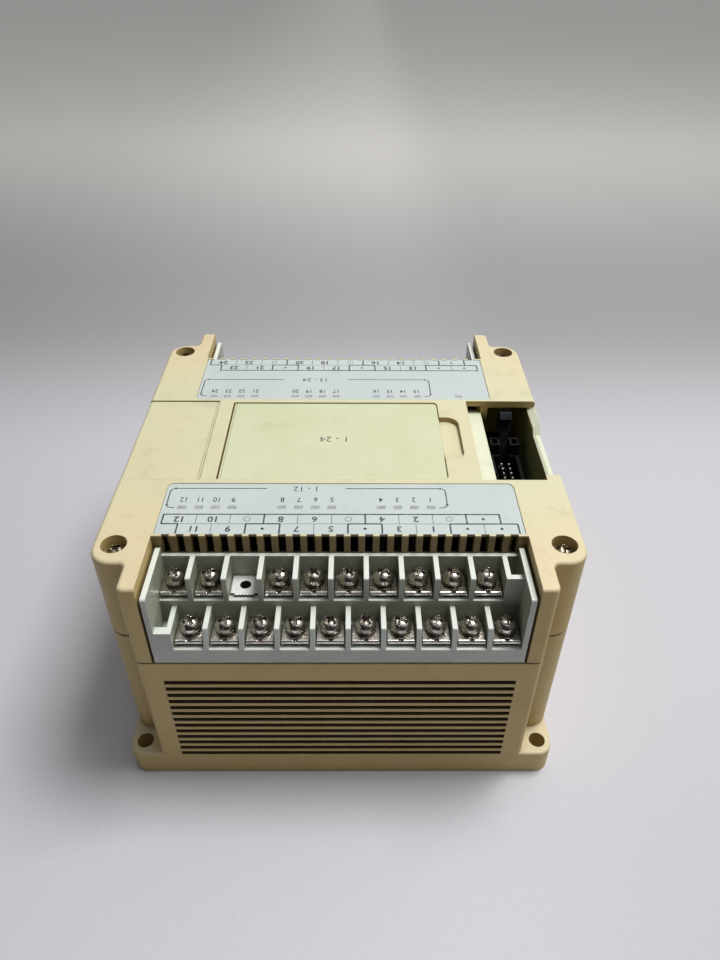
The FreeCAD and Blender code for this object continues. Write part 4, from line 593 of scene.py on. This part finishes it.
case_screw_metal = plated_metal(
    "screw_zinc", paint(206, 198, 182), paint(150, 140, 120), paint(104, 72, 48), 0.9
)
dress(case_screw_metal, ["case_screws"])
dress(dark_plastic("header_black", paint(8, 8, 9), paint(20, 20, 20), 0.6, 0.8), ["bus_header"])
lever_slate = dark_plastic("lever_slate", paint(14, 15, 18), paint(62, 66, 72), 0.5, 0.7)
dress(lever_slate, ["front_ejector", "rear_ejector"])
dress(dark_plastic("chip_black", paint(30, 30, 32), paint(96, 94, 90), 0.4, 0.6), ["logic_chips"])
dress(dark_plastic("latch_grey", paint(72, 72, 75), paint(132, 130, 126), 0.4, 0.6), ["din_latch"])
dress(header_pin("pin_tinned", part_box("bus_header_pins")[1].z), ["bus_header_pins"])
pin_gold = plated_metal("pin_gold", paint(232, 200, 120), paint(196, 160, 92), paint(120, 92, 50), 0.3)
dress(pin_gold, ["logic_link_pins"])
dress(clear_bar("pipe_clear_ends"), ["front_light_pipes", "rear_light_pipes"])
lamp = mottled("lamp_red_moulded", paint(176, 34, 28), paint(206, 56, 44), 0.8 * MM, 0.2, 0.35)
dress(lamp, ["front_indicators", "rear_indicators"])
dress(varnished_board("board_green_tracks"), [
    "logic_board", "relay_board", "front_terminal_board", "rear_terminal_board",
])
wire = plated_metal("tinned_wire", paint(214, 212, 206), paint(170, 168, 160), paint(120, 110, 96), 0.3)
dress(wire, ["front_link_wires", "rear_link_wires"])
dress(mottled("relay_blue", paint(44, 78, 156), paint(58, 92, 170), 5 * MM, 0.25, 0.4), ["relays"])
ferrite = mottled("ferrite_grey", paint(52, 52, 55), paint(70, 70, 72), 0.9 * MM, 0.5, 0.7)
dress(ferrite, ["transformer_core"])
dress(wound_wire("winding_copper"), ["transformer_winding"])
sleeve = mottled("can_sleeve_dark", paint(30, 34, 46), paint(42, 46, 58), 3 * MM, 0.25, 0.4)
dress(sleeve, ["filter_capacitors"])
brass = plated_metal("standoff_brass", paint(216, 184, 108), paint(176, 146, 84), paint(112, 84, 44), 0.3)
dress(brass, ["board_standoffs"])


# ---------------------------------------------------------------- printed art

INK_LIFT = 0.015 * MM        # how far a printed film stands off the surface under it
HALF_TURN = Matrix.Rotation(math.pi, 4, "Z")
DISC_SIDES = 20
RING_SIDES = 24
SHORTEST_MITRE = 0.3         # keeps the corner of a sharply bent stroke from running out


def arc(x, y, radius, start, end, steps):
    """Points round part of a circle, between two angles in degrees."""
    points = []
    for k in range(steps + 1):
        angle = math.radians(start + (end - start) * k / steps)
        points.append((x + radius * math.cos(angle), y + radius * math.sin(angle)))
    return points


def circle(x, y, radius, sides):
    """Points once round a circle, ending where they began."""
    return arc(x, y, radius, 0, 360, sides)


class Print:
    """Flat ink shapes on one level surface, gathered into one piece. Drawing sizes are in millimetres."""

    def __init__(self, name, height):
        self.name = name
        self.height = height * MM + INK_LIFT
        self.shape = bmesh.new()

    def polygon(self, points):
        """A filled outline, given anticlockwise."""
        corners = [self.shape.verts.new((x * MM, y * MM, self.height)) for x, y in points]
        self.shape.faces.new(corners)

    def line(self, path, width):
        """A printed stroke of even width along a path, with mitred corners."""
        left = []
        right = []
        count = len(path)
        for i in range(count):
            here = Vector(path[i])
            directions = []
            if i > 0:
                directions.append((here - Vector(path[i - 1])).normalized())
            if i < count - 1:
                directions.append((Vector(path[i + 1]) - here).normalized())
            along = sum(directions, Vector((0.0, 0.0))).normalized()
            across = Vector((-along.y, along.x))
            reach = width / 2 / max(SHORTEST_MITRE, along.dot(directions[0]))
            left.append(here + across * reach)
            right.append(here - across * reach)
        for i in range(count - 1):
            self.polygon([right[i], right[i + 1], left[i + 1], left[i]])

    def disc(self, x, y, radius):
        """A filled dot."""
        self.polygon(circle(x, y, radius, DISC_SIDES)[:-1])

    def ring(self, x, y, radius, width):
        """A closed printed circle."""
        self.line(circle(x, y, radius, RING_SIDES), width)

    def words(self, text, x, y, size, width_share=1.0, weight=0.0):
        """Plain numbers centred on a point, their top towards the front of the module."""
        curve = bpy.data.curves.new("lettering", "FONT")
        curve.body = text
        curve.size = size * MM
        curve.align_x = "CENTER"
        curve.align_y = "CENTER"
        curve.offset = weight * MM
        curve.resolution_u = 3
        holder = bpy.data.objects.new("lettering", curve)
        bpy.context.scene.collection.objects.link(holder)
        bpy.context.view_layer.update()
        graph = bpy.context.evaluated_depsgraph_get()
        mesh = bpy.data.meshes.new_from_object(holder.evaluated_get(graph))
        place = Matrix.Translation((x * MM, y * MM, self.height)) @ HALF_TURN
        mesh.transform(place @ Matrix.Diagonal((width_share, 1.0, 1.0, 1.0)))
        self.shape.from_mesh(mesh)
        bpy.data.objects.remove(holder)
        bpy.data.curves.remove(curve)
        bpy.data.meshes.remove(mesh)

    def finish(self, material, body):
        """Makes the piece, and lets it ride on its body."""
        mesh = bpy.data.meshes.new(self.name)
        self.shape.to_mesh(mesh)
        self.shape.free()
        mesh.materials.append(material)
        piece = bpy.data.objects.new(self.name, mesh)
        bpy.context.scene.collection.objects.link(piece)
        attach(piece, body)


LABEL_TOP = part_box("front_label")[1].z / MM
THIN_LINE = 0.15
FRAME_LINE = 0.33
BOLD_LINE = 0.45

MARK_FIRST_X = -44.9         # the indicator marks stand in groups of four
MARK_GROUP_PITCH = 28.2
MARK_PITCH = 4.73
MARK_GROUPS = 3
MARKS_PER_GROUP = 4
MARKS_PER_LABEL = MARK_GROUPS * MARKS_PER_GROUP
MARK_NUMBER_SIZE = 2.9
MARK_NUMBER_WIDTH = 0.82
MARK_NUMBER_WEIGHT = 0.03

BRACKET_X = (-49.5, 30.4)
BRACKET_GAP = (-21.6, 1.4)   # room for the title
BRACKET_RADIUS = 1.5
BRACKET_FOOT = 0.9
CORNER_STEPS = 5
TITLE_X = sum(BRACKET_GAP) / 2
TITLE_SIZE = 3.2

CELL_PITCH = 9.39
CELLS = 10
NUMBERED_GROUPS = 3
EVEN_BOLD = (0, 3, 6, 9, 10)            # the cell edges drawn bold in each row
ODD_BOLD = (0, 2, 3, 5, 6, 8, 10)
BOLD_STRETCHES = ((2, 3), (5, 6), (8, 10))   # of the line between the rows, by the odd row's edges
CELL_NUMBER_SIZE = 3.2
CELL_NUMBER_WEIGHT = 0.07
DOT_RADIUS = 0.45
RING_RADIUS = 0.9


def mark_numbers(art, y, highest):
    """The output numbers beside the indicator marks, counting down from the left."""
    number = highest
    for group in range(MARK_GROUPS):
        for step in range(MARKS_PER_GROUP):
            x = MARK_FIRST_X + group * MARK_GROUP_PITCH + step * MARK_PITCH
            art.words(str(number), x, y, MARK_NUMBER_SIZE, MARK_NUMBER_WIDTH, MARK_NUMBER_WEIGHT)
            number -= 1


def bracket(art, line_y, foot_y):
    """The frame round the indicator marks, with a gap in its long side for the title."""
    down = 1 if foot_y > line_y else -1
    upper_y = line_y + down * BRACKET_RADIUS
    lower_y = foot_y - down * BRACKET_RADIUS
    for end_x, gap_x, out in zip(BRACKET_X, BRACKET_GAP, (-1, 1)):
        inner_x = end_x - out * BRACKET_RADIUS
        turn = 90 * down * out
        side = 90 - 90 * out
        path = [(gap_x, line_y), (inner_x, line_y)]
        path += arc(inner_x, upper_y, BRACKET_RADIUS, -90 * down, -90 * down + turn, CORNER_STEPS)
        path += [(end_x, lower_y)]
        path += arc(inner_x, lower_y, BRACKET_RADIUS, side, side + turn, CORNER_STEPS)
        path += [(inner_x - out * BRACKET_FOOT, foot_y)]
        art.line(path, FRAME_LINE)


def row_cells(highest, spare):
    """What the ten cells of a row hold: two numbers and a spare mark, three times over, then a dot."""
    cells = []
    for group in range(NUMBERED_GROUPS):
        number = highest - 4 * group
        cells += [str(number), str(number - 2), spare]
    return cells + ["dot"]


def table_row(art, edges, y_low, y_high, cells, bold):
    """One row of the terminal table: upright lines between cells, and each cell's number, dot or ring."""
    for k in range(CELLS + 1):
        width = BOLD_LINE if k in bold else THIN_LINE
        art.line([(edges[k], y_low), (edges[k], y_high)], width)
    middle_y = (y_low + y_high) / 2
    for k in range(CELLS):
        middle_x = (edges[k] + edges[k + 1]) / 2
        if cells[k] == "dot":
            art.disc(middle_x, middle_y, DOT_RADIUS)
        elif cells[k] == "ring":
            art.ring(middle_x, middle_y, RING_RADIUS, THIN_LINE)
        else:
            art.words(cells[k], middle_x, middle_y, CELL_NUMBER_SIZE, 1.0, CELL_NUMBER_WEIGHT)


def cell_edges(first):
    """The cell edges of a table row."""
    return [first + CELL_PITCH * k for k in range(CELLS + 1)]


def terminal_table(art, highest, even_x, even_y, odd_x, odd_y):
    """Two rows of cells, the even outputs over one row of terminals and the odd ones over the other."""
    even = cell_edges(even_x)
    odd = cell_edges(odd_x)
    table_row(art, even, *even_y, row_cells(highest, "ring"), EVEN_BOLD)
    table_row(art, odd, *odd_y, row_cells(highest - 1, "dot"), ODD_BOLD)
    inner_y = min(even_y + odd_y, key=abs)
    shared_y = next(y for y in even_y if y in odd_y)
    inner_row = even if inner_y in even_y else odd
    ends = (inner_row[0] - BOLD_LINE / 2, inner_row[CELLS] + BOLD_LINE / 2)
    art.line([(ends[0], inner_y), (ends[1], inner_y)], BOLD_LINE)
    art.line([(even[0], shared_y), (odd[CELLS], shared_y)], THIN_LINE)
    bold = [(even[0], odd[0])] + [(odd[start], odd[end]) for start, end in BOLD_STRETCHES]
    for x0, x1 in bold:
        art.line([(x0, shared_y), (x1, shared_y)], BOLD_LINE)


def label_print(name, highest, marks_y, title_y, line_y, foot_y, even_x, even_y, odd_x, odd_y):
    """Everything printed on one label, as one piece: numbers, frame, title and terminal table."""
    art = Print(name, LABEL_TOP)
    mark_numbers(art, marks_y, highest)
    bracket(art, line_y, foot_y)
    art.words(f"{highest - MARKS_PER_LABEL + 1} - {highest}", TITLE_X, title_y, TITLE_SIZE)
    terminal_table(art, highest, even_x, even_y, odd_x, odd_y)
    art.finish(label_ink, "case")


label_ink = ink("label_ink", paint(44, 52, 60), LABEL_INK_BARE, 0.2)
label_print(
    "front_label_print", 12, marks_y=-33.4, title_y=-28.5, line_y=-28.4, foot_y=-37.0,
    even_x=-49.4, even_y=(-43.9, -39.9), odd_x=-44.8, odd_y=(-47.9, -43.9),
)
label_print(
    "rear_label_print", 24, marks_y=25.9, title_y=33.7, line_y=33.8, foot_y=22.6,
    even_x=-49.3, even_y=(44.2, 47.9), odd_x=-45.0, odd_y=(40.3, 44.2),
)

LID_MIDDLE = (-2.5, -2.9)
LID_NUMBER_SIZE = 4.0
lid_numbers = Print("lid_print_numbers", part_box("centre_lid")[1].z / MM)
lid_numbers.words("1 - 24", *LID_MIDDLE, LID_NUMBER_SIZE)
lid_numbers.finish(ink("lid_ink_grey", paint(70, 76, 72), CREAM_BARE, 0.2), "lid")


# ---------------------------------------------------------------- stage, light and camera

FLOOR_HALF_WIDTH = 3.0
FLOOR_Y = (-2.5, 6.0)
PAINTED_SHADE_BAND_Y = (0.09, 0.25)       # painted light and shade on the cloth: light in front, a band of painted shade, then painted light, lightest far back
PAINTED_LIGHT_FAR_Y = (0.27, 0.75)
BRIGHT_DIRECTION = (0.42, 0.30, 0.86)
SKY_STRENGTH = 0.72
CLOTH_LEFT_X = (-0.3, 0.05)          # painted shade on the cloth, to the left and to the right, over these stretches
CLOTH_LEFT_SHADE = 0.22
CLOTH_RIGHT_X = (0.02, 0.12)
CLOTH_RIGHT_SHADE = 0.16
LAMP_PLACE = (0.26, 0.05, 0.80)
LAMP_TARGET = (0.0, 0.0, 0.0)
LAMP_SIZE = 0.30
LAMP_POWER = 5.5
LAMP_COLOUR = (1.0, 0.995, 0.98)
CAMERA_PLACE = (0.003948, -0.197030, 0.218961)
CAMERA_PITCH_DOWN = 0.66730
CAMERA_YAW = -0.00936
CAMERA_ROLL = -0.00727
CAMERA_LENS = 27.773                 # millimetres, behind a frame 36 mm wide
CAMERA_FRAME = 36.0
CAMERA_NEAR = 0.01
CAMERA_FAR = 20.0


def studio_floor():
    """A level sheet of pale cloth, with painted light and shade across it."""
    shape = bmesh.new()
    corners = []
    for x, y in ((-1, 0), (1, 0), (1, 1), (-1, 1)):
        corners.append(shape.verts.new((x * FLOOR_HALF_WIDTH, FLOOR_Y[y], 0.0)))
    shape.faces.new(corners)
    mesh = bpy.data.meshes.new("studio_floor")
    shape.to_mesh(mesh)
    shape.free()
    sheet = bpy.data.objects.new("studio_floor", mesh)
    bpy.context.scene.collection.objects.link(sheet)
    graph = Surface("studio_cloth")
    x, y = graph.axes(graph.place)[:2]
    # painted light and shade: a darker band behind the module, then paler far back
    colour = graph.mix(graph.levels(y, *PAINTED_SHADE_BAND_Y), paint(212, 211, 217), paint(172, 171, 172))
    colour = graph.mix(graph.levels(y, *PAINTED_LIGHT_FAR_Y), colour, paint(252, 249, 243))
    weave = graph.noise(0.9 * MM, 3.0)
    colour = graph.mix(graph.levels(weave, 0.3, 0.7, 0.0, 0.10), colour, paint(176, 174, 180))
    # painted shade on the cloth to the left and to the right
    left_shade = graph.levels(x, *CLOTH_LEFT_X, CLOTH_LEFT_SHADE, 0.0)
    right_shade = graph.levels(x, *CLOTH_RIGHT_X, 0.0, CLOTH_RIGHT_SHADE)
    colour = graph.mix(graph.combine("ADD", left_shade, right_shade), colour, paint(90, 90, 94))
    folds = graph.noise(90 * MM, 2.0)
    normal = graph.bump(folds, 3.0 * MM, 0.25)
    normal = graph.bump(weave, 0.15 * MM, 0.4, normal)
    graph.set(Base_Color=colour, Roughness=0.9, Normal=normal, Specular_IOR_Level=0.1)
    mesh.materials.append(graph.material)


def studio_sky():
    """Soft light that is brightest above and to the right, and falls away towards the front and the left."""
    world = bpy.data.worlds.new("studio")
    world.use_nodes = True
    graph = Graph(world.node_tree, "Generated")
    node = graph.new("ShaderNodeVectorMath", operation="DOT_PRODUCT")
    graph.feed(node.inputs[0], graph.place)
    graph.feed(node.inputs[1], BRIGHT_DIRECTION)
    share = graph.levels(node.outputs["Value"], 0.22, 1.0)
    background = graph.nodes["Background"]
    graph.feed(background.inputs["Color"], graph.mix(share, paint(46, 44, 42), paint(252, 253, 255)))
    graph.feed(background.inputs["Strength"], SKY_STRENGTH)
    bpy.context.scene.world = world


def studio_lamp():
    """A square studio lamp aimed at the module."""
    data = bpy.data.lights.new("overhead", "AREA")
    data.shape = "SQUARE"
    data.size = LAMP_SIZE
    data.energy = LAMP_POWER
    data.color = LAMP_COLOUR
    holder = bpy.data.objects.new("overhead", data)
    holder.location = LAMP_PLACE
    aim = Vector(LAMP_TARGET) - Vector(LAMP_PLACE)
    holder.rotation_euler = aim.to_track_quat("-Z", "Y").to_euler()
    bpy.context.scene.collection.objects.link(holder)


def studio_camera():
    """The camera, in front of the module and above it."""
    data = bpy.data.cameras.new("camera")
    data.sensor_width = CAMERA_FRAME
    data.lens = CAMERA_LENS
    data.clip_start = CAMERA_NEAR
    data.clip_end = CAMERA_FAR
    camera = bpy.data.objects.new("camera", data)
    turn = Matrix.Rotation(CAMERA_YAW, 4, "Z")
    turn = turn @ Matrix.Rotation(math.pi / 2 - CAMERA_PITCH_DOWN, 4, "X")
    turn = turn @ Matrix.Rotation(-CAMERA_ROLL, 4, "Z")
    camera.matrix_world = Matrix.Translation(CAMERA_PLACE) @ turn
    bpy.context.scene.collection.objects.link(camera)
    bpy.context.scene.camera = camera


studio_floor()
studio_sky()
studio_lamp()
bpy.context.scene.view_settings.view_transform = "Standard"

studio_camera()
